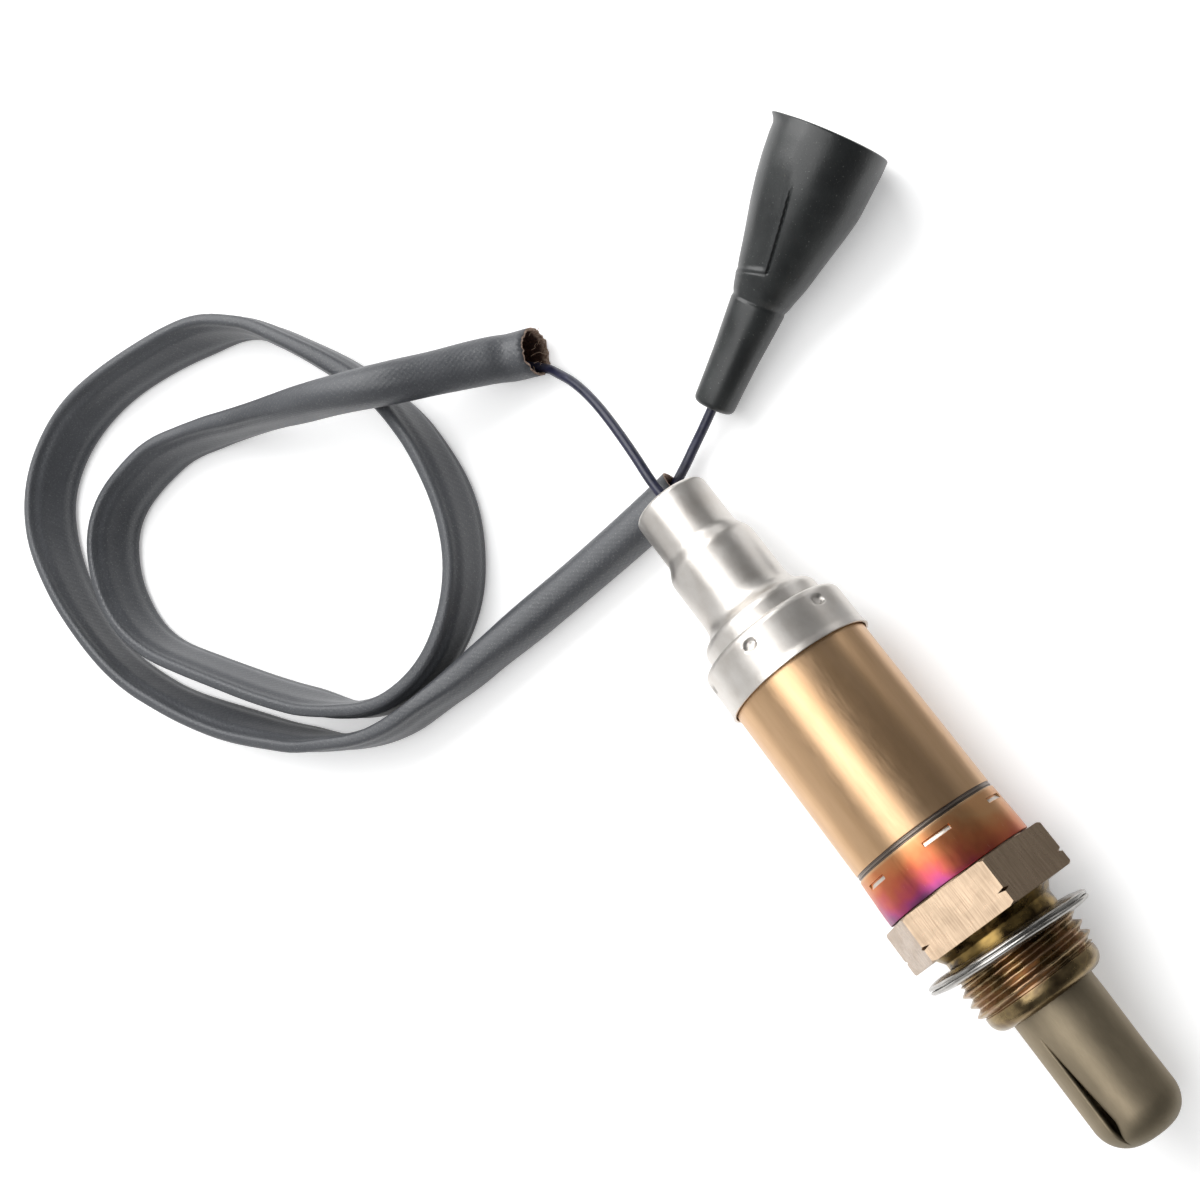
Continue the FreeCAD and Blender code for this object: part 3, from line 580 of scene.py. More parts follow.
weave_bare = finish("bare_brown_weave", ink(92, 66, 48), 0.85)
bare_place = node(weave_bare, "TexCoord").outputs["Object"]
fibre = speckle(weave_bare, bare_place, (2400.0, 2400.0, 2400.0), detail=6.0)
bare_map = node(weave_bare, "UVMap", uv_map="weave").outputs["UV"]
place_along = node(weave_bare, "SeparateXYZ", {"Vector": bare_map}).outputs["Y"]
from_start = spread(weave_bare, place_along, RIM_START, RIM_END)
from_end = spread(weave_bare, place_along, BRAID_MM - RIM_END, BRAID_MM - RIM_START, 1.0, 0.0)
from_cuts = maths(weave_bare, "MINIMUM", from_start, from_end)
deep = ramp(weave_bare, fibre, [
    (0.32, ink(44, 27, 22)),
    (0.6, ink(86, 58, 46)),
    (0.78, ink(134, 102, 82)),
])
frayed = ramp(weave_bare, fibre, [
    (0.3, ink(116, 90, 76)),
    (0.5, ink(172, 146, 128)),
    (0.7, ink(214, 192, 176)),
])
wire_up(weave_bare, "Base Color", blend(weave_bare, from_cuts, frayed, deep))
relief(weave_bare, fibre, 0.0003)

braid = settle(braid_mesh, "braided_sleeving", [coating, weave_bare], "sleeving")
wall = braid.modifiers.new("wall", "SOLIDIFY")
wall.thickness = BRAID_WALL * MM
wall.offset = -1.0
wall.material_offset = 1
wall.material_offset_rim = 1

# %% [markdown]
# ## Loose strands
#
# A cut braid frays. A few hair-thin strands stand in the open mouth, each a short curve of
# four points that starts on the rim and bends inward. Their bends and lengths come from
# the smooth noise, so the same strands grow on every run.

# %% Fray the open mouth
STRAND_COUNT = 7
STRAND_RADIUS = 0.045
STRAND_BEND = 1.4

strands = bpy.data.curves.new("loose_strands", "CURVE")
strands.dimensions = "3D"
strands.bevel_depth = STRAND_RADIUS * MM
strands.bevel_resolution = 2
mouth_spot, mouth_ahead = place_on(BRAID_SPOTS, BRAID_REACH, 0.0)
mouth_side = mouth_ahead.cross(Vector((0.0, 0.0, 1.0)))


def turn_in_mouth(place):
    """The turn of a place on the rim about the middle of the open mouth."""
    return math.atan2(place.z - mouth_spot.z, (place - mouth_spot).dot(mouth_side))


def on_rim(place):
    """True for a place at the cut of the open mouth."""
    out = place - mouth_spot
    return out.length < 8.0 * MM and out.dot(mouth_ahead) < 0.3 * MM


rim = [corner.co.copy() for corner in braid.data.vertices if on_rim(corner.co)]
rim.sort(key=turn_in_mouth)
for index in range(STRAND_COUNT):
    turn = (index + ripple((index * 3.1, 2.2, 0.0), 1.0, 0.8)) / STRAND_COUNT % 1.0
    start = rim[int(turn * (len(rim) - 1))]
    inward = (mouth_spot - start) * (0.3 + ripple((index * 1.7, 0.4, 0.0), 1.0, 0.4))
    strand = strands.splines.new("NURBS")
    strand.points.add(3)
    for step, spot in enumerate(strand.points):
        share = step / 3
        bend = [ripple((index * 2.3, step * 0.9, axis * 5.1), 1.0, STRAND_BEND) for axis in range(3)]
        place = start + inward * (0.35 + 1.2 * share) + (mouth_ahead * 0.8 * share + Vector(bend)) * MM
        spot.co = (place.x, place.y, place.z, 1.0)
    strand.order_u = 3
    strand.use_endpoint_u = True
strands.materials.append(finish("pale_glass_fibre", ink(176, 150, 130), 0.5))
fray = in_scene("loose_strands", strands)
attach(fray, "root")
print("loose strands:", len(strands.splines))

# %% [markdown]
# ## The lead
#
# The lead is one thin insulated wire. It comes straight out of the cap's neck, falls to
# the table, runs through the loop of braid and ends in the boot. It is a curve with a
# round bevel, so its surface follows the line with no seams. Inside the braid its points
# are the braid's own points, moved down into the lower fold, where a real lead would lie.

# %% Route of the lead
LEAD_RADIUS = 0.74
FOLD_ROOM = BRAID_WALL + LEAD_RADIUS + 0.6
LEAD_FREE = [(-33.1, 0.0, 11.25), (-50.4, 0.0, 11.25), (-54.4, -0.47, 11.2), (-61.46, -0.07, 10.33)]
LEAD_FREE += [(-71.02, -0.53, 7.61), (-77.97, -1.97, 4.79), (-82.31, -3.83, 2.86), (-84.73, -4.9, 1.36)]
BOOT_START = Vector((-60.36, 11.76, 3.37))
BOOT_AXIS = Vector((-0.3656, 0.9204, 0.1387))
LEAD_TO_BOOT = [(-56.7, 2.0, 2.0), (-58.4, 6.0, 2.2)]
LEAD_TO_BOOT += [BOOT_START - 2.5 * BOOT_AXIS, BOOT_START + 15.0 * BOOT_AXIS]


def in_lower_fold(point):
    """Where the lead lies in the braid at one of the braid's own points."""
    gaps = [(spot / MM - Vector(point)).length for spot in BRAID_SPOTS]
    distance = BRAID_REACH[gaps.index(min(gaps))]
    ahead = place_on(BRAID_SPOTS, BRAID_REACH, distance)[1]
    side = ahead.cross(Vector((0.0, 0.0, 1.0))).normalized()
    width, height, lean = section_at(distance / MM)
    room = height / 2 - FOLD_ROOM
    bottom = max(point[2] - height / 2, 0.0) * ease(point[2] - ON_TABLE)
    aside = -side * room * math.sin(math.radians(lean))
    return (point[0] + aside.x, point[1] + aside.y, bottom + FOLD_ROOM)


LEAD_INSIDE = [in_lower_fold(point) for point in BRAID_POINTS]
lead = route("lead_wire_insulation", LEAD_FREE + LEAD_INSIDE + LEAD_TO_BOOT)
LEAD_LENGTH = walk(lead)[1][-1]
lead.data.bevel_depth = LEAD_RADIUS * MM
lead.data.bevel_resolution = 7
lead.data.use_fill_caps = True
print("lead length in metres:", round(LEAD_LENGTH, 4))

# %% Finish of the lead
insulation = finish("navy_insulation", ink(34, 36, 58), 0.34, Specular_IOR_Level=0.55)
lead_place = node(insulation, "TexCoord").outputs["Object"]
lead_grain = speckle(insulation, lead_place, (900.0, 900.0, 900.0), detail=3.0)
wire_up(insulation, "Base Color", two_tones(insulation, lead_grain, ink(26, 28, 46), ink(46, 47, 72)))
vary_gloss(insulation, lead_grain, 0.28, 0.42)
relief(insulation, lead_grain, 0.00004, 0.4)
lead.data.materials.append(insulation)
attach(lead, "root")
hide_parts("lead_wire")
print("lead finish is on", lead.name)

# %% [markdown]
# ## Turned metal
#
# The housing, the sleeve, the cap and the nose tube are all turned or drawn about one
# axis. Each starts as an outline in the plane of the axis: a few corners joined by edges.
# Beveling the corners as vertices rounds them, and one spin of the outline makes the
# piece. This keeps every edge a real radius, which is what catches the light on steel. A
# cylinder with moved loops would need the same rings without their roundness.

# %% A helper that turns an outline
def turned(corners, closed=True, columns=144, start=0.0, fine=()):
    """Spin (station, radius, round) corners, in millimetres, about the X axis.

    Each of fine is (low, high, spacing): between those two stations the outline gets rings
    no further apart than the spacing, for detail that is pressed in afterwards.
    """
    shape = bmesh.new()
    spots = [shape.verts.new((corner[0], corner[1], 0.0)) for corner in corners]
    for first, second in zip(spots, spots[1:] + spots[:1] if closed else spots[1:]):
        shape.edges.new((first, second))
    for spot, corner in zip(spots, corners):
        if len(corner) > 2 and corner[2] > 0:
            steps = max(5, round(corner[2] * 6))
            bmesh.ops.bevel(shape, geom=[spot], offset=corner[2], offset_type="OFFSET", segments=steps,
                            profile=0.5, affect="VERTICES", material=-1)
    for low, high, spacing in fine:
        for edge in shape.edges[:]:
            stations = [vertex.co.x for vertex in edge.verts]
            cuts = int(edge.calc_length() / spacing - 0.01)
            if min(stations) > low - 0.001 and max(stations) < high + 0.001 and cuts > 0:
                bmesh.ops.subdivide_edges(shape, edges=[edge], cuts=cuts)
    bmesh.ops.rotate(shape, verts=shape.verts, matrix=Matrix.Rotation(math.radians(start), 3, "X"))
    bmesh.ops.spin(shape, geom=shape.verts[:] + shape.edges[:], cent=(0, 0, 0), axis=(1, 0, 0),
                   dvec=(0, 0, 0), angle=2 * math.pi, steps=columns, use_merge=True)
    bmesh.ops.remove_doubles(shape, verts=shape.verts, dist=0.0005)
    bmesh.ops.recalc_face_normals(shape, faces=shape.faces)
    return shape


def ring_cuts(shape, stations):
    """Cut rings round a turned shape where finer detail needs them."""
    for station in stations:
        everything = shape.verts[:] + shape.edges[:] + shape.faces[:]
        bmesh.ops.bisect_plane(shape, geom=everything, plane_co=(station, 0, 0), plane_no=(1, 0, 0),
                               dist=0.00001)


def angle_of(place):
    """The turn of a place about the X axis in degrees, 0 at +Y and 90 on top."""
    return math.degrees(math.atan2(place.z, place.y)) % 360.0


def radius_of(place):
    """How far a place is from the X axis."""
    return math.hypot(place.y, place.z)


def set_radius(corner, radius):
    """Move a corner straight out or in, to a radius."""
    scale = radius / max(radius_of(corner.co), 1e-9)
    corner.co.y *= scale
    corner.co.z *= scale


def from_nearest(angle, first, count):
    """How far an angle is from the nearest of count even places, with a sign."""
    step = 360.0 / count
    return (angle - first + step / 2) % step - step / 2


def to_sensor(shape):
    """Move a mesh made in millimetres from the seat into the frame."""
    bmesh.ops.transform(shape, matrix=SENSOR, verts=shape.verts)
    return shape


print("turning helper is ready")

# %% [markdown]
# ## The tinted sleeve
#
# The sleeve is a thin drawn shell. A raised band sits against the hexagon, and a rolled
# line closes the band. Six oblong stakes are pressed through the band into the housing:
# each is a deep slot with a steep dark back, and a slope of bare bright metal in front,
# where the punch drew the sheet. The stakes are an inset of the faces in their place,
# pushed inward. A Boolean would cut them too, but it leaves long thin faces on a round wall.

# %% Turn the sleeve and press its stakes
SLEEVE_RADIUS, BAND_RADIUS = 10.6, 10.85
LINE_FRONT, LINE_BACK, LINE_SUNK = -13.4, -14.22, 0.2
STAKE_COUNT, STAKE_ANGLE, STAKE_HALF_TURN = 6, 70.5, 11.25
STAKE_BACK, STAKE_MIDDLE, STAKE_FRONT = -12.2, -11.98, -11.46
STAKE_DEPTH = 0.28

sleeve_shape = turned([
    (-6.6, 9.9, 0.0),
    (-6.6, BAND_RADIUS, 0.16),
    (-8.4, BAND_RADIUS, 0.0),
    (LINE_FRONT, SLEEVE_RADIUS + 0.06, 0.05),
    (-13.5, SLEEVE_RADIUS - LINE_SUNK, 0.03),
    (-13.6, SLEEVE_RADIUS - LINE_SUNK, 0.03),
    (-13.7, SLEEVE_RADIUS - 0.04, 0.05),
    (-13.92, SLEEVE_RADIUS - 0.04, 0.05),
    (-14.02, SLEEVE_RADIUS - LINE_SUNK, 0.03),
    (-14.12, SLEEVE_RADIUS - LINE_SUNK, 0.03),
    (LINE_BACK, SLEEVE_RADIUS, 0.08),
    (-46.8, SLEEVE_RADIUS, 0.5),
    (-46.8, 6.2, 0.0),
    (-46.1, 6.2, 0.0),
    (-46.1, 9.9, 0.3),
], columns=192, start=STAKE_ANGLE - STAKE_HALF_TURN)
ring_cuts(sleeve_shape, [STAKE_BACK, STAKE_MIDDLE, STAKE_FRONT])


def in_stake(face):
    """True for a face of the outer wall where a stake is pressed."""
    middle = face.calc_center_median()
    turn = from_nearest(angle_of(middle), STAKE_ANGLE, STAKE_COUNT)
    outside = radius_of(middle) > SLEEVE_RADIUS - 0.3
    return outside and abs(turn) < STAKE_HALF_TURN and STAKE_BACK < middle.x < STAKE_FRONT


stakes = [face for face in sleeve_shape.faces if in_stake(face)]
bmesh.ops.inset_region(sleeve_shape, faces=stakes, thickness=0.06, depth=0.0, use_even_offset=True)
for corner in {vertex for face in stakes for vertex in face.verts}:
    toward_front = (corner.co.x - STAKE_MIDDLE) / (STAKE_FRONT - STAKE_MIDDLE)
    set_radius(corner, radius_of(corner.co) - STAKE_DEPTH * (1.0 - 0.9 * max(toward_front, 0.0)))
for face in stakes:
    if face.calc_center_median().x > STAKE_MIDDLE:
        face.material_index = 1
print("faces in the stakes:", len(stakes))

# %% [markdown]
# ## Heat tint
#
# Steel that has been hot carries a film of oxide whose colour runs with its thickness:
# straw, orange, red, violet. On the sleeve the colours run along the axis and are
# strongest at the hexagon. A ramp along the axis gives them, and low noise pushes the
# borders to and fro, because the heat never reached round the metal evenly. Painting the
# colours by hand would look the same from one side only.
# Towards the +Y side the colours are also moved towards orange, a painted reflection tone for that side.

# %% Finish of the sleeve
sleeve_steel = finish("tinted_sleeve_steel", ink(212, 170, 122), 0.3, metallic=1.0)
sleeve_where = sensor_place(sleeve_steel)
sleeve_axes = node(sleeve_steel, "SeparateXYZ", {"Vector": sleeve_where}).outputs
station = sleeve_axes["X"]
drift = speckle(sleeve_steel, sleeve_where, (0.16, 0.13, 0.13), detail=3.0)
shift = maths(sleeve_steel, "MULTIPLY", maths(sleeve_steel, "SUBTRACT", drift, 0.5), 7.0)
# Painted reflection tone: on the +Y side, where the metal reflects the dark card, the tint moves towards
# orange.
shift = maths(sleeve_steel, "ADD", shift, spread(sleeve_steel, sleeve_axes["Y"], 1.0, 9.0, 0.0, -3.4))
tint_at = spread(sleeve_steel, maths(sleeve_steel, "ADD", station, shift), -14.5, -5.5)
tint = ramp(sleeve_steel, tint_at, [
    (0.0, ink(208, 158, 112)),
    (0.16, ink(204, 142, 96)),
    (0.34, ink(204, 124, 82)),
    (0.52, ink(196, 102, 76)),
    (0.66, ink(186, 82, 92)),
    (0.80, ink(168, 72, 122)),
    (0.92, ink(130, 72, 112)),
    (1.0, ink(116, 74, 100)),
])
scratches = speckle(sleeve_steel, sleeve_where, (0.5, 2.6, 0.9), detail=7.0, roughness=0.8)
scratch = spread(sleeve_steel, scratches, 0.64, 0.70, 0.0, 0.55)
tint = blend(sleeve_steel, scratch, tint, ink(240, 190, 170))
ahead_of_line = spread(sleeve_steel, station, LINE_FRONT, LINE_FRONT + 0.4)
gold_cloud = speckle(sleeve_steel, sleeve_where, (0.05, 0.4, 0.4), detail=5.0)
base_gold = two_tones(sleeve_steel, gold_cloud, ink(206, 168, 128), ink(220, 183, 144))
sleeve_colour = blend(sleeve_steel, ahead_of_line, base_gold, tint)
past_back = spread(sleeve_steel, station, LINE_BACK, LINE_BACK + 0.08)
before_front = spread(sleeve_steel, station, LINE_FRONT - 0.06, LINE_FRONT + 0.02, 1.0, 0.0)
in_line = maths(sleeve_steel, "MULTIPLY", past_back, before_front)
sleeve_colour = blend(sleeve_steel, in_line, sleeve_colour, ink(132, 122, 114))
wire_up(sleeve_steel, "Base Color", sleeve_colour)
drawn = speckle(sleeve_steel, sleeve_where, (0.4, 3.0, 3.0), detail=4.0)
grains = speckle(sleeve_steel, sleeve_where, (7.0, 7.0, 7.0), detail=3.0)
vary_gloss(sleeve_steel, drawn, 0.3, 0.4)
relief(sleeve_steel, grains, 0.000008, 0.35)
bare_steel = finish("bare_punched_steel", ink(196, 188, 178), 0.34, metallic=1.0)
vary_gloss(bare_steel, speckle(bare_steel, sensor_place(bare_steel), (5.0, 5.0, 5.0)), 0.26, 0.44)
settle(to_sensor(sleeve_shape), "tinted_sleeve", [sleeve_steel, bare_steel],
       "protective_sleeve")

# %% [markdown]
# ## The stepped cap
#
# The cap is pressed from bright sheet in steps: a skirt with a flared lip over the
# sleeve's end, a shoulder, a waist, and a neck for the lead. Six round dimples hold the
# skirt. They are pressed by moving corners on a finely ringed stretch with a smooth
# falloff, which leaves the soft rim that a punch leaves.

# %% Turn the cap and press its dimples
DIMPLE_COUNT, DIMPLE_ANGLE, DIMPLE_STATION = 6, 32.0, -45.3
DIMPLE_LENGTH, DIMPLE_WIDTH, DIMPLE_DEPTH = 1.9, 1.6, 0.42
SKIRT_RADIUS = 11.05
NECK_RADIUS, NECK_BORE = 5.75, 5.05

cap_shape = turned([
    (-40.4, 10.85, 0.06),
    (-40.4, 11.25, 0.1),
    (-41.0, 11.14, 0.3),
    (-41.5, SKIRT_RADIUS, 0.3),
    (-44.0, SKIRT_RADIUS, 0.0),
    (-46.4, SKIRT_RADIUS, 0.0),
    (-47.5, SKIRT_RADIUS - 0.02, 1.0),
    (-47.5, 9.15, 0.3),
    (-50.2, 9.15, 0.95),
    (-50.75, 8.0, 0.5),
    (-51.6, 7.15, 0.6),
    (-52.8, 6.85, 0.9),
    (-61.2, 6.85, 0.55),
    (-63.2, NECK_RADIUS, 0.5),
    (CAP_END, NECK_RADIUS, 0.85),
    (CAP_END, 4.5, 0.15),
    (-70.8, 4.5, 0.1),
    (-70.8, NECK_BORE, 0.0),
    (-63.05, NECK_BORE, 0.0),
    (-60.65, 6.15, 0.0),
    (-52.1, 6.15, 0.0),
    (-50.0, 8.4, 0.0),
    (-46.82, 8.4, 0.0),
    (-46.82, 10.63, 0.4),
    (-41.4, 10.63, 0.0),
], columns=240, fine=[(-46.4, -44.0, 0.12)])
for corner in cap_shape.verts:
    if radius_of(corner.co) > SKIRT_RADIUS - 0.1:
        turn = from_nearest(angle_of(corner.co), DIMPLE_ANGLE, DIMPLE_COUNT)
        across = math.radians(turn) * SKIRT_RADIUS
        ahead = corner.co.x - DIMPLE_STATION
        reach = math.hypot(across / (DIMPLE_LENGTH / 2), ahead / (DIMPLE_WIDTH / 2))
        set_radius(corner, radius_of(corner.co) - DIMPLE_DEPTH * ease((1.15 - reach) / 0.5))
print("corners of the cap:", len(cap_shape.verts))

# %% [markdown]
# ## Satin steel of the cap
#
# Pressed stainless sheet is neither mirror nor matt. Its colour is even, so almost all
# that is seen is the room in it. A cloudy noise moves the roughness by a few hundredths,
# and a fine grain breaks up the reflections. A single flat roughness would look plated.

# %% Finish of the cap
cap_steel = finish("satin_cap_steel", ink(206, 203, 197), 0.26, metallic=1.0)
cap_where = sensor_place(cap_steel)
cap_cloud = speckle(cap_steel, cap_where, (0.35, 0.35, 0.35), detail=5.0)
cap_grain = speckle(cap_steel, cap_where, (8.0, 8.0, 8.0), detail=3.0)
wire_up(cap_steel, "Base Color", two_tones(cap_steel, cap_cloud, ink(212, 206, 199), ink(226, 222, 217)))
vary_gloss(cap_steel, cap_cloud, 0.36, 0.44)
relief(cap_steel, cap_grain, 0.00001, 0.5)
settle(to_sensor(cap_shape), "stepped_cap", [cap_steel], "end_cap")

# %% [markdown]
# ## The housing
#
# The housing is one turned bar: a hexagon for the wrench, a root and neck, a rolled
# thread and a rounded collar, with stepped bores inside. A spin makes everything but the
# hexagon. The hexagon is a six-sided prism that shares its volume with a turned ring, the
# way a lathe faces a hexagonal bar: where the two meet, the corners get their curved
# breaks and their notches. Two Boolean modifiers do that and join the halves.

# %% Turn the shank and cut its thread
HEX_ACROSS = 22.0
HEX_LENGTH = 6.35
HEX_CORNER = HEX_ACROSS / 2 / math.cos(math.radians(30.0))
NECK_END, COLLAR_START, COLLAR_END = 4.2, 9.1, 11.7
THREAD_CREST, THREAD_DEPTH, THREAD_PITCH = 8.95, 0.86, 1.5
THREAD_ROOT = 8.1
THREAD_PHASE = 6.33
RINGS_PER_PITCH = 24
THREAD_RUN, THREAD_DROP = 0.45, 0.9
FACING = 0.38
NOTCH_STATION, NOTCH_HALF, NOTCH_DEPTH = -2.0, 0.3, 0.5

shank = turned([
    (-16.6, 5.0, 0.0),
    (-16.6, 7.7, 0.0),
    (-13.2, 7.7, 0.0),
    (-13.2, 9.85, 0.3),
    (-3.0, 9.85, 0.0),
    (-3.0, 8.9, 0.0),
    (0.0, 8.9, 0.0),
    (1.1, THREAD_ROOT, 0.12),
    (NECK_END, THREAD_ROOT, 0.0),
    (COLLAR_START, THREAD_ROOT, 0.0),
    (COLLAR_START + 0.12, 8.3, 0.06),
    (COLLAR_END, 8.3, 1.9),
    (COLLAR_END, 6.0, 0.12),
    (10.55, 6.0, 0.0),
    (10.55, 6.65, 0.0),
    (9.45, 6.65, 0.0),
    (9.45, 4.3, 0.0),
    (-2.0, 4.3, 0.0),
    (-2.0, 6.2, 0.0),
    (-15.6, 6.2, 0.0),
    (-15.6, 5.0, 0.0),
], columns=192, fine=[(NECK_END, COLLAR_START, THREAD_PITCH / RINGS_PER_PITCH)])


def thread_height(share):
    """The thread's section over one pitch: a narrow crest, two flanks, a round root."""
    down = abs((share + 0.5) % 1.0 - 0.5) * 2 - 0.1
    return 1.0 - ease(down / 0.86) * 0.35 - min(max(down / 0.8, 0.0), 1.0) * 0.65


for corner in shank.verts:
    if NECK_END <= corner.co.x <= COLLAR_START and radius_of(corner.co) > THREAD_ROOT - 0.1:
        along = (corner.co.x - THREAD_PHASE) / THREAD_PITCH - angle_of(corner.co) / 360.0
        from_end = min(corner.co.x - NECK_END, COLLAR_START - corner.co.x)
        crest = THREAD_CREST - THREAD_DROP * (1.0 - ease(from_end / THREAD_RUN))
        height = THREAD_CREST - THREAD_DEPTH * (1.0 - thread_height(along))
        set_radius(corner, max(min(height, crest), THREAD_ROOT))
print("corners of the shank:", len(shank.verts))

# %% Face the hexagon and join it to the shank
bar = bmesh.new()
bmesh.ops.create_cone(bar, cap_ends=True, segments=6, radius1=HEX_CORNER, radius2=HEX_CORNER,
                      depth=HEX_LENGTH)
to_axis = Matrix.Translation((-HEX_LENGTH / 2, 0, 0)) @ Matrix.Rotation(math.radians(90), 4, "Y")
bmesh.ops.transform(bar, matrix=to_axis, verts=bar.verts)
first_corner = min(bar.verts, key=lambda corner: abs(from_nearest(angle_of(corner.co), 0.0, 6)))
lean = from_nearest(angle_of(first_corner.co), 0.0, 6)
bmesh.ops.rotate(bar, verts=bar.verts, matrix=Matrix.Rotation(math.radians(-lean), 3, "X"))
OUTSIDE = HEX_CORNER + 0.1
faced = turned([
    (-HEX_LENGTH - FACING, 9.0, 0.0),
    (-HEX_LENGTH - FACING, HEX_CORNER - 2 * FACING, 0.0),
    (-HEX_LENGTH + FACING, OUTSIDE, 0.0),
    (NOTCH_STATION - NOTCH_HALF, OUTSIDE, 0.0),
    (NOTCH_STATION, HEX_CORNER - NOTCH_DEPTH, 0.0),
    (NOTCH_STATION + NOTCH_HALF, OUTSIDE, 0.0),
    (-FACING, OUTSIDE, 0.0),
    (FACING, HEX_CORNER - 2 * FACING, 0.0),
    (FACING, 9.0, 0.0),
], columns=240)


def combined(first, second, operation):
    """Two shapes as one, by a Boolean modifier; the two objects it needs are removed again."""
    pair = [object_of(shape, operation.lower()) for shape in (first, second)]
    knife = pair[0].modifiers.new("combine", "BOOLEAN")
    knife.operation = operation
    knife.object = pair[1]
    knife.solver = "EXACT"
    graph = bpy.context.evaluated_depsgraph_get()
    mesh = bpy.data.meshes.new_from_object(pair[0].evaluated_get(graph))
    shape = bmesh.new()
    shape.from_mesh(mesh)
    for thing in pair:
        bpy.data.objects.remove(thing)
    bpy.data.meshes.remove(mesh)
    return shape


housing_shape = combined(shank, combined(bar, faced, "INTERSECT"), "UNION")
bmesh.ops.remove_doubles(housing_shape, verts=housing_shape.verts, dist=0.0005)
print("faces of the housing:", len(housing_shape.faces))

# %% [markdown]
# ## Bronzed steel of the housing
#
# The housing carries a brownish film that handling and heat have worn unevenly: clean on
# the flats and coppery on the thread. The neck between the hexagon and the gasket is
# painted dark, a painted shade where those two parts crowd it, with painted yellow
# highlights in patches. The zones follow the axis, so one material blends four tones by
# the station along it. The lines on the flats come from a noise that is stretched round
# the axis, the ones on the shank run round the turned metal. Separate materials would need
# a seam where the zones should melt together.

# %% Finish of the housing
housing_steel = finish("bronze_toned_steel", ink(190, 168, 136), 0.32, metallic=1.0)
housing_where = sensor_place(housing_steel)
housing_station = node(housing_steel, "SeparateXYZ", {"Vector": housing_where}).outputs["X"]
off_the_flats = {"Vector": housing_where, "Rotation": (math.radians(17.0), 0.0, 0.0)}
turned_place = node(housing_steel, "Mapping", off_the_flats, vector_type="POINT").outputs["Vector"]
flats = speckle(housing_steel, turned_place, (0.25, 5.37, 5.37), detail=5.0)
lathe = speckle(housing_steel, housing_where, (9.0, 0.3, 0.3), detail=4.0)
stain_and_painted_neck_light = speckle(housing_steel, housing_where, (0.5, 0.3, 0.3), detail=2.0)
hex_colour = two_tones(housing_steel, flats, ink(146, 126, 106), ink(180, 159, 136))
# Painted light on the neck: its dark tone is painted shade between the hexagon and the gasket, and its
# yellow patches are painted highlights.
neck_painted_shade_and_highlights = ramp(housing_steel, stain_and_painted_neck_light, [(0.35, ink(66, 52, 34)), (0.66, ink(166, 138, 82))])
thread_colour = ramp(housing_steel, stain_and_painted_neck_light, [
    (0.3, ink(118, 100, 74)),
    (0.45, ink(158, 136, 102)),
    (0.58, ink(164, 132, 104)),
    (0.72, ink(136, 118, 88)),
])
collar_colour = ramp(housing_steel, stain_and_painted_neck_light, [
    (0.3, ink(108, 90, 66)),
    (0.5, ink(148, 128, 92)),
    (0.7, ink(112, 95, 74)),
])
past_hexagon = spread(housing_steel, housing_station, -0.05, 0.05)
in_thread = spread(housing_steel, housing_station, NECK_END - 0.3, NECK_END + 0.3)
past_thread = spread(housing_steel, housing_station, COLLAR_START - 0.1, COLLAR_START + 0.3)
shank_colour = blend(housing_steel, in_thread, neck_painted_shade_and_highlights, thread_colour)
shank_colour = blend(housing_steel, past_thread, shank_colour, collar_colour)
wire_up(housing_steel, "Base Color", blend(housing_steel, past_hexagon, hex_colour, shank_colour))
vary_gloss(housing_steel, stain_and_painted_neck_light, 0.2, 0.36)
relief(housing_steel, blend(housing_steel, past_hexagon, flats, lathe), 0.00002, 0.8)
settle(to_sensor(housing_shape), "hexagon_housing", [housing_steel], "housing", 28.0)

# %% [markdown]
# ## The gasket
#
# The gasket is a strip of stainless sheet folded on itself into a ring, so its rim shows
# two lips with a fine groove between them. It is loose: it hangs on the neck and leans.
# One spin of its lens-shaped section makes it, then a turn gives the lean.

# %% Turn the gasket
GASKET_PLACE = (3.3, 0.0, 0.55)
GASKET_YAW = -3.0
UNEVEN_SIZE, UNEVEN = 0.12, 0.09

gasket_shape = turned([
    (-0.95, 8.675, 0.3),
    (-0.95, 9.8, 0.5),
    (-0.62, 11.45, 0.12),
    (-0.34, 11.8, 0.14),
    (-0.07, 11.66, 0.05),
    (-0.05, 10.9, 0.0),
    (0.05, 10.9, 0.0),
    (0.07, 11.66, 0.05),
    (0.34, 11.8, 0.14),
    (0.62, 11.45, 0.12),
    (0.95, 9.8, 0.5),
    (0.95, 8.675, 0.3),
], columns=160)
for corner in gasket_shape.verts:
    corner.co.x += ripple((corner.co.x * 0.2, corner.co.y, corner.co.z), UNEVEN_SIZE, UNEVEN)
hang = Matrix.Translation(GASKET_PLACE) @ Matrix.Rotation(math.radians(GASKET_YAW), 4, "Z")
bmesh.ops.transform(gasket_shape, matrix=hang, verts=gasket_shape.verts)

gasket_steel = finish("gasket_sheet", ink(198, 196, 190), 0.22, metallic=1.0)
gasket_where = sensor_place(gasket_steel)
gasket_lines = speckle(gasket_steel, gasket_where, (4.0, 0.5, 0.5), detail=4.0)
gasket_tone = two_tones(gasket_steel, gasket_lines, ink(146, 143, 138), ink(192, 190, 186))
wire_up(gasket_steel, "Base Color", gasket_tone)
vary_gloss(gasket_steel, gasket_lines, 0.18, 0.34)
relief(gasket_steel, gasket_lines, 0.000008, 0.4)
settle(to_sensor(gasket_shape), "folded_gasket", [gasket_steel], "gasket")

# %% [markdown]
# ## The nose tube
#
# The tube over the sensing tip is drawn from sheet, and its gas slits are lanced: the
# sheet is slit along the axis and one side of each slit is pushed in. So the mesh is slit
# too. The edges along a column are split, the corners of one side move in and away, and a
# Solidify modifier gives the sheet its thickness, cut edges included.

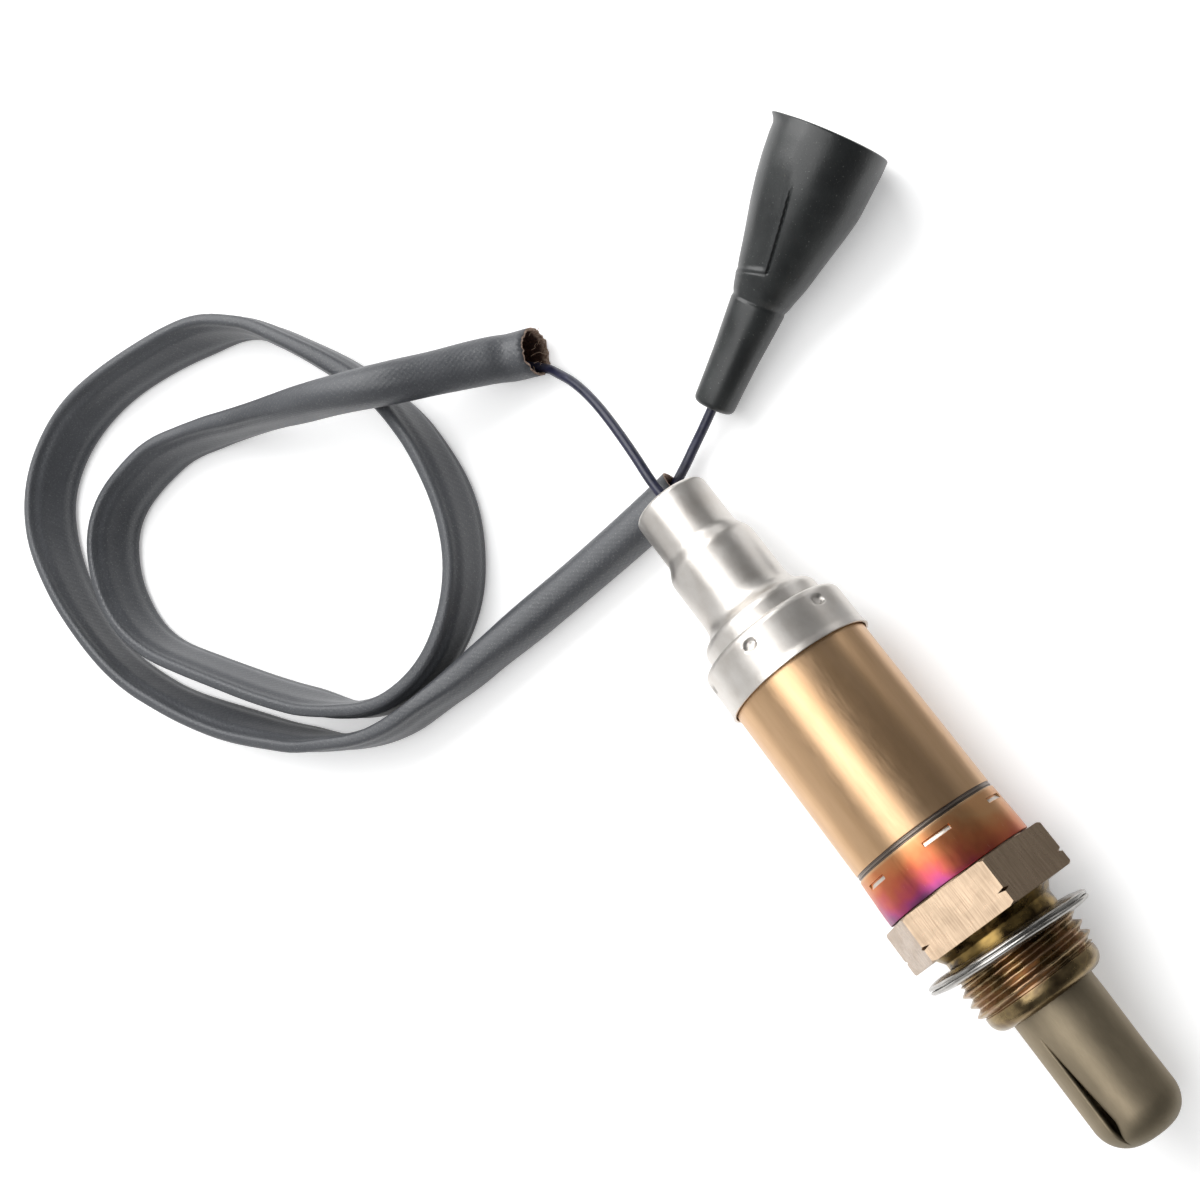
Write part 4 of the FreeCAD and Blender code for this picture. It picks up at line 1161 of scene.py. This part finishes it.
# %% Draw the nose tube and lance its slits
TUBE_RADIUS, TUBE_TIP, TUBE_WALL = 5.95, 31.1, 0.5
SLIT_COUNT, SLIT_ANGLE = 3, 121.0
SLIT_BACK, SLIT_WIDEST, SLIT_FRONT = 14.4, 26.8, 30.2
SLIT_OPEN, SLIT_SINK = 1.0, 0.7
PUSHED_TURN, PUSHED_REACH = 52.0, 40.0

tube_shape = turned([
    (10.5, 6.55, 0.0),
    (10.5, TUBE_RADIUS, 0.2),
    (SLIT_BACK, TUBE_RADIUS, 0.0),
    (26.95, TUBE_RADIUS, 0.0),
    (TUBE_TIP, TUBE_RADIUS, 4.15),
    (TUBE_TIP, 0.0, 0.0),
], closed=False, start=SLIT_ANGLE, fine=[(SLIT_BACK, 26.96, 0.3)])


def from_slit(place):
    """The turn from the nearest slit to a place, in degrees with a sign."""
    return from_nearest(angle_of(place), SLIT_ANGLE, SLIT_COUNT)


def on_slit(edge):
    """True for an edge that runs along one of the slits."""
    places = [vertex.co for vertex in edge.verts]
    straight = all(abs(from_slit(place)) < 0.2 for place in places)
    inside = all(SLIT_BACK - 0.01 < place.x < SLIT_FRONT + 0.01 for place in places)
    return straight and inside


bmesh.ops.split_edges(tube_shape, edges=[edge for edge in tube_shape.edges if on_slit(edge)])
for corner in tube_shape.verts:
    if not SLIT_BACK < corner.co.x < SLIT_FRONT:
        continue
    middles = [face.calc_center_median() for face in corner.link_faces]
    turn = from_slit(sum(middles, Vector()) / len(middles))
    if -PUSHED_TURN < turn < 0.0:
        rise = min((corner.co.x - SLIT_BACK) / (SLIT_WIDEST - SLIT_BACK), 1.0)
        fall = ease((SLIT_FRONT - corner.co.x) / (SLIT_FRONT - SLIT_WIDEST))
        near = max(0.0, 1.0 - abs(from_slit(corner.co)) / PUSHED_REACH)
        push = rise * fall * near ** 2
        back = -math.degrees(SLIT_OPEN / TUBE_RADIUS) * push
        bmesh.ops.rotate(tube_shape, verts=[corner], matrix=Matrix.Rotation(math.radians(back), 3, "X"))
        set_radius(corner, radius_of(corner.co) - SLIT_SINK * push)

tube_steel = finish("heat_dulled_steel", ink(150, 136, 112), 0.46, metallic=1.0)
tube_where = sensor_place(tube_steel)
tube_station = node(tube_steel, "SeparateXYZ", {"Vector": tube_where}).outputs["X"]
tube_cloud = speckle(tube_steel, tube_where, (0.12, 0.3, 0.3), detail=5.0)
tube_lines = speckle(tube_steel, tube_where, (0.8, 6.0, 6.0), detail=4.0)
dulled = two_tones(tube_steel, tube_cloud, ink(144, 132, 111), ink(168, 154, 131))
# Painted shade: the base colour darkens over the rounded tip.
tip_painted_shade = spread(tube_steel, tube_station, 26.0, 30.5)
wire_up(tube_steel, "Base Color", blend(tube_steel, tip_painted_shade, dulled, ink(128, 118, 98)))
tube_wear = maths(tube_steel, "ADD", tube_cloud, tube_lines)
wire_up(tube_steel, "Roughness", spread(tube_steel, tube_wear, 0.7, 1.3, 0.5, 0.62))
relief(tube_steel, tube_lines, 0.000006, 0.4)
tube = settle(to_sensor(tube_shape), "slit_nose_tube", [tube_steel], "protection_tube")
sheet = tube.modifiers.new("sheet", "SOLIDIFY")
sheet.thickness = TUBE_WALL * MM
sheet.offset = -1.0

# %% [markdown]
# ## The rubber boot
#
# The boot is moulded rubber: a slim stem round the lead, a ring-shaped nick, and a bell
# that flares to an open mouth over the terminal. On one side of the bell the mould left a
# flat pad with a fine line round it. The boot is one turned outline with a bore. The pad,
# the line and the small lip at the mouth are pressed in by moving corners, because they
# follow the round wall. Cutting them would leave edges too sharp for rubber.

# %% Turn the boot
BORE_RADIUS = LEAD_RADIUS + 0.12
BOOT_LENGTH = 40.9
BOOT_RINGS = 0.22

boot_shape = turned([
    (0.0, BORE_RADIUS, 0.1),
    (0.0, 3.08, 0.85),
    (4.0, 3.25, 0.9),
    (8.5, 3.48, 0.9),
    (12.0, 3.8, 0.9),
    (15.9, 4.1, 0.15),
    (16.3, 3.98, 0.12),
    (17.1, 4.36, 0.3),
    (18.9, 4.82, 0.9),
    (20.5, 5.34, 0.9),
    (22.1, 5.7, 0.9),
    (25.4, 6.5, 0.9),
    (28.8, 7.3, 0.9),
    (32.1, 7.95, 0.9),
    (35.4, 8.2, 0.9),
    (38.8, 8.42, 0.7),
    (BOOT_LENGTH, 8.35, 0.25),
    (BOOT_LENGTH, 7.5, 0.25),
    (34.5, 7.1, 0.0),
    (29.5, 6.3, 0.0),
    (21.5, 4.3, 0.0),
    (17.5, 3.1, 0.0),
    (16.4, 3.0, 0.0),
    (16.4, 2.5, 0.0),
    (10.4, 2.5, 0.0),
    (10.4, BORE_RADIUS, 0.0),
], columns=420, fine=[(18.5, BOOT_LENGTH, BOOT_RINGS)])
print("corners of the boot:", len(boot_shape.verts))

# %% Press in the pad, its line and the lip
PAD_START, PAD_END, PAD_FADE = 19.7, 36.0, 5.0
PAD_DEPTH, PAD_STEP = 0.26, 1.1
PAD_SIDE, PAD_TAPER = 107.0, 0.8
LINE_END = 33.6
LINE_DEPTH, LINE_WIDTH, CROSS_DEPTH = 0.34, 0.3, 0.12
LIP_ANGLE, LIP_HALF, LIP_RISE, LIP_REACH = 24.0, 40.0, 0.9, 1.6
MOUTH_SLANT, SLANT_START = 0.5, 33.0
FACING_CAMERA = 113.5


def pressed(place):
    """How far the mould pressed the boot in or out at a place of its outer wall."""
    angle, radius = angle_of(place), radius_of(place)
    ahead = place.x - PAD_START - 0.025 * (angle - 65.0)
    beside = math.radians(PAD_SIDE - PAD_TAPER * (place.x - PAD_START) - angle) * radius
    far_side = math.radians((angle + 20.0) % 360.0) * radius
    lengthwise = ease(ahead / PAD_STEP) * ease((PAD_END - place.x) / PAD_FADE)
    on_pad = ease(beside / PAD_STEP) * ease(far_side / 3.0)
    line = ease(1.0 - abs(beside) / LINE_WIDTH)
    line *= ease(ahead / LINE_WIDTH) * ease((LINE_END - place.x) / 3.0)
    cross = ease(1.0 - abs(ahead) / LINE_WIDTH)
    cross *= ease(beside / LINE_WIDTH) * ease((angle - 10.0) / 20.0)
    beside_lip = abs(from_nearest(angle, LIP_ANGLE, 1)) / LIP_HALF
    lip = ease(1.0 - beside_lip) * max(place.x - BOOT_LENGTH + LIP_REACH, 0.0) ** 2 / LIP_REACH ** 2
    soft = ripple((place.x, place.y, place.z), 0.12, 0.12)
    sunk = PAD_DEPTH * lengthwise * on_pad + max(LINE_DEPTH * line, CROSS_DEPTH * cross)
    return LIP_RISE * lip - sunk + soft


OUTER_WALL = [(0.0, 2.0), (16.4, 3.4), (29.5, 6.8), (BOOT_LENGTH + 2.0, 7.9)]


def outside_of_boot(place):
    """True on the outer wall, false in the bore and the bell's inside."""
    for (start, low), (end, high) in zip(OUTER_WALL, OUTER_WALL[1:]):
        if place.x <= end:
            return radius_of(place) > low + (high - low) * (place.x - start) / (end - start)
    return True


for corner in boot_shape.verts:
    if corner.co.x > PAD_START - 1.0 and outside_of_boot(corner.co):
        set_radius(corner, radius_of(corner.co) + pressed(corner.co))
for corner in boot_shape.verts:
    toward_mouth = ease((corner.co.x - SLANT_START) / (BOOT_LENGTH - SLANT_START))
    slant = math.cos(math.radians(angle_of(corner.co) - FACING_CAMERA)) * radius_of(corner.co) / 8.4
    corner.co.x += MOUTH_SLANT * slant * toward_mouth
aside = Vector((0.0, 0.0, 1.0)).cross(BOOT_AXIS).normalized()
boot_turn = Matrix((BOOT_AXIS, aside, BOOT_AXIS.cross(aside))).transposed().to_4x4()
boot_place = Matrix.Translation(BOOT_START * MM) @ boot_turn @ Matrix.Scale(MM, 4)
bmesh.ops.transform(boot_shape, matrix=boot_place, verts=boot_shape.verts)
print("lowest point of the boot in mm:", round(min(corner.co.z for corner in boot_shape.verts) / MM, 3))

# %% [markdown]
# ## Dusty rubber
#
# Old rubber is nearly black, with a weak broad shine, and holds dust. Slow noise gives
# the smudges, fine noise the specks, and a noise stretched one way the lint. Each is laid
# over the black in the base colour, since dust hides the rubber under it.

# %% Finish of the boot
boot_rubber = finish("dusty_boot_rubber", ink(28, 31, 32), 0.4,
                     Specular_IOR_Level=0.7, Sheen_Weight=0.08)
boot_where = node(boot_rubber, "TexCoord").outputs["Object"]
smudge = speckle(boot_rubber, boot_where, (170.0, 170.0, 170.0), detail=5.0)
dust = speckle(boot_rubber, boot_where, (3200.0, 3200.0, 3200.0), detail=2.0)
lint = speckle(boot_rubber, boot_where, (900.0, 2600.0, 5200.0), detail=6.0, roughness=0.75)
rubber_tone = two_tones(boot_rubber, smudge, ink(17, 20, 21), ink(32, 36, 36))
dusted = spread(boot_rubber, dust, 0.66, 0.76, 0.0, 0.5)
rubber_tone = blend(boot_rubber, dusted, rubber_tone, ink(120, 124, 118))
linted = spread(boot_rubber, lint, 0.62, 0.72, 0.0, 0.4)
rubber_tone = blend(boot_rubber, linted, rubber_tone, ink(104, 102, 86))
wire_up(boot_rubber, "Base Color", rubber_tone)
vary_gloss(boot_rubber, smudge, 0.3, 0.44)
relief(boot_rubber, dust, 0.00003, 0.5)
boot = settle(boot_shape, "flared_boot", [boot_rubber], "boot")

# %% [markdown]
# ## Inner pieces
#
# The pieces inside the shell keep the shape that the construction model gives them. Most
# are hidden, but a part that is cut open or taken apart should not show a blank grey, so
# each gets a finish of its own: fired ceramic, pressed powder, plain turned steel, plated
# terminals and the soft black grommet in the cap's mouth.

# %% Finishes of the inner pieces
def grained(name, dark, light, size, roughness, metallic=0.0, depth=0.00003):
    """A finish whose tone and gloss wander with one noise."""
    made = finish(name, dark, roughness[0], metallic)
    grain = speckle(made, node(made, "TexCoord").outputs["Object"], (size, size, size), detail=5.0)
    wire_up(made, "Base Color", two_tones(made, grain, dark, light))
    vary_gloss(made, grain, *roughness)
    relief(made, grain, depth, 0.5)
    return made


fired = grained("fired_ceramic", ink(214, 208, 194), ink(232, 228, 216), 900.0, (0.5, 0.65))
powder = grained("pressed_powder", ink(150, 144, 132), ink(186, 180, 166), 2600.0, (0.8, 0.95),
                 depth=0.0001)
steel = grained("turned_inner_steel", ink(168, 168, 166), ink(196, 195, 192), 1500.0, (0.3, 0.44), 1.0)
plated = grained("plated_terminal", ink(190, 182, 160), ink(214, 206, 184), 1200.0, (0.22, 0.36), 1.0)
soft_black = grained("grommet_rubber", ink(24, 24, 25), ink(38, 38, 39), 1800.0, (0.6, 0.78))
INNER_FINISHES = {
    "sensor_ceramic": fired, "insulating_bush": fired, "powder_packing": powder, "seal_ring": steel,
    "pressure_ring": steel, "contact_element": plated, "support_tube": steel, "disc_spring": steel,
    "terminal_crimp": plated, "boot_terminal": plated, "grommet": soft_black,
}
for name, made in INNER_FINISHES.items():
    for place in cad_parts[name].material_slots:
        place.material = made
print("inner pieces with a finish:", len(INNER_FINISHES))
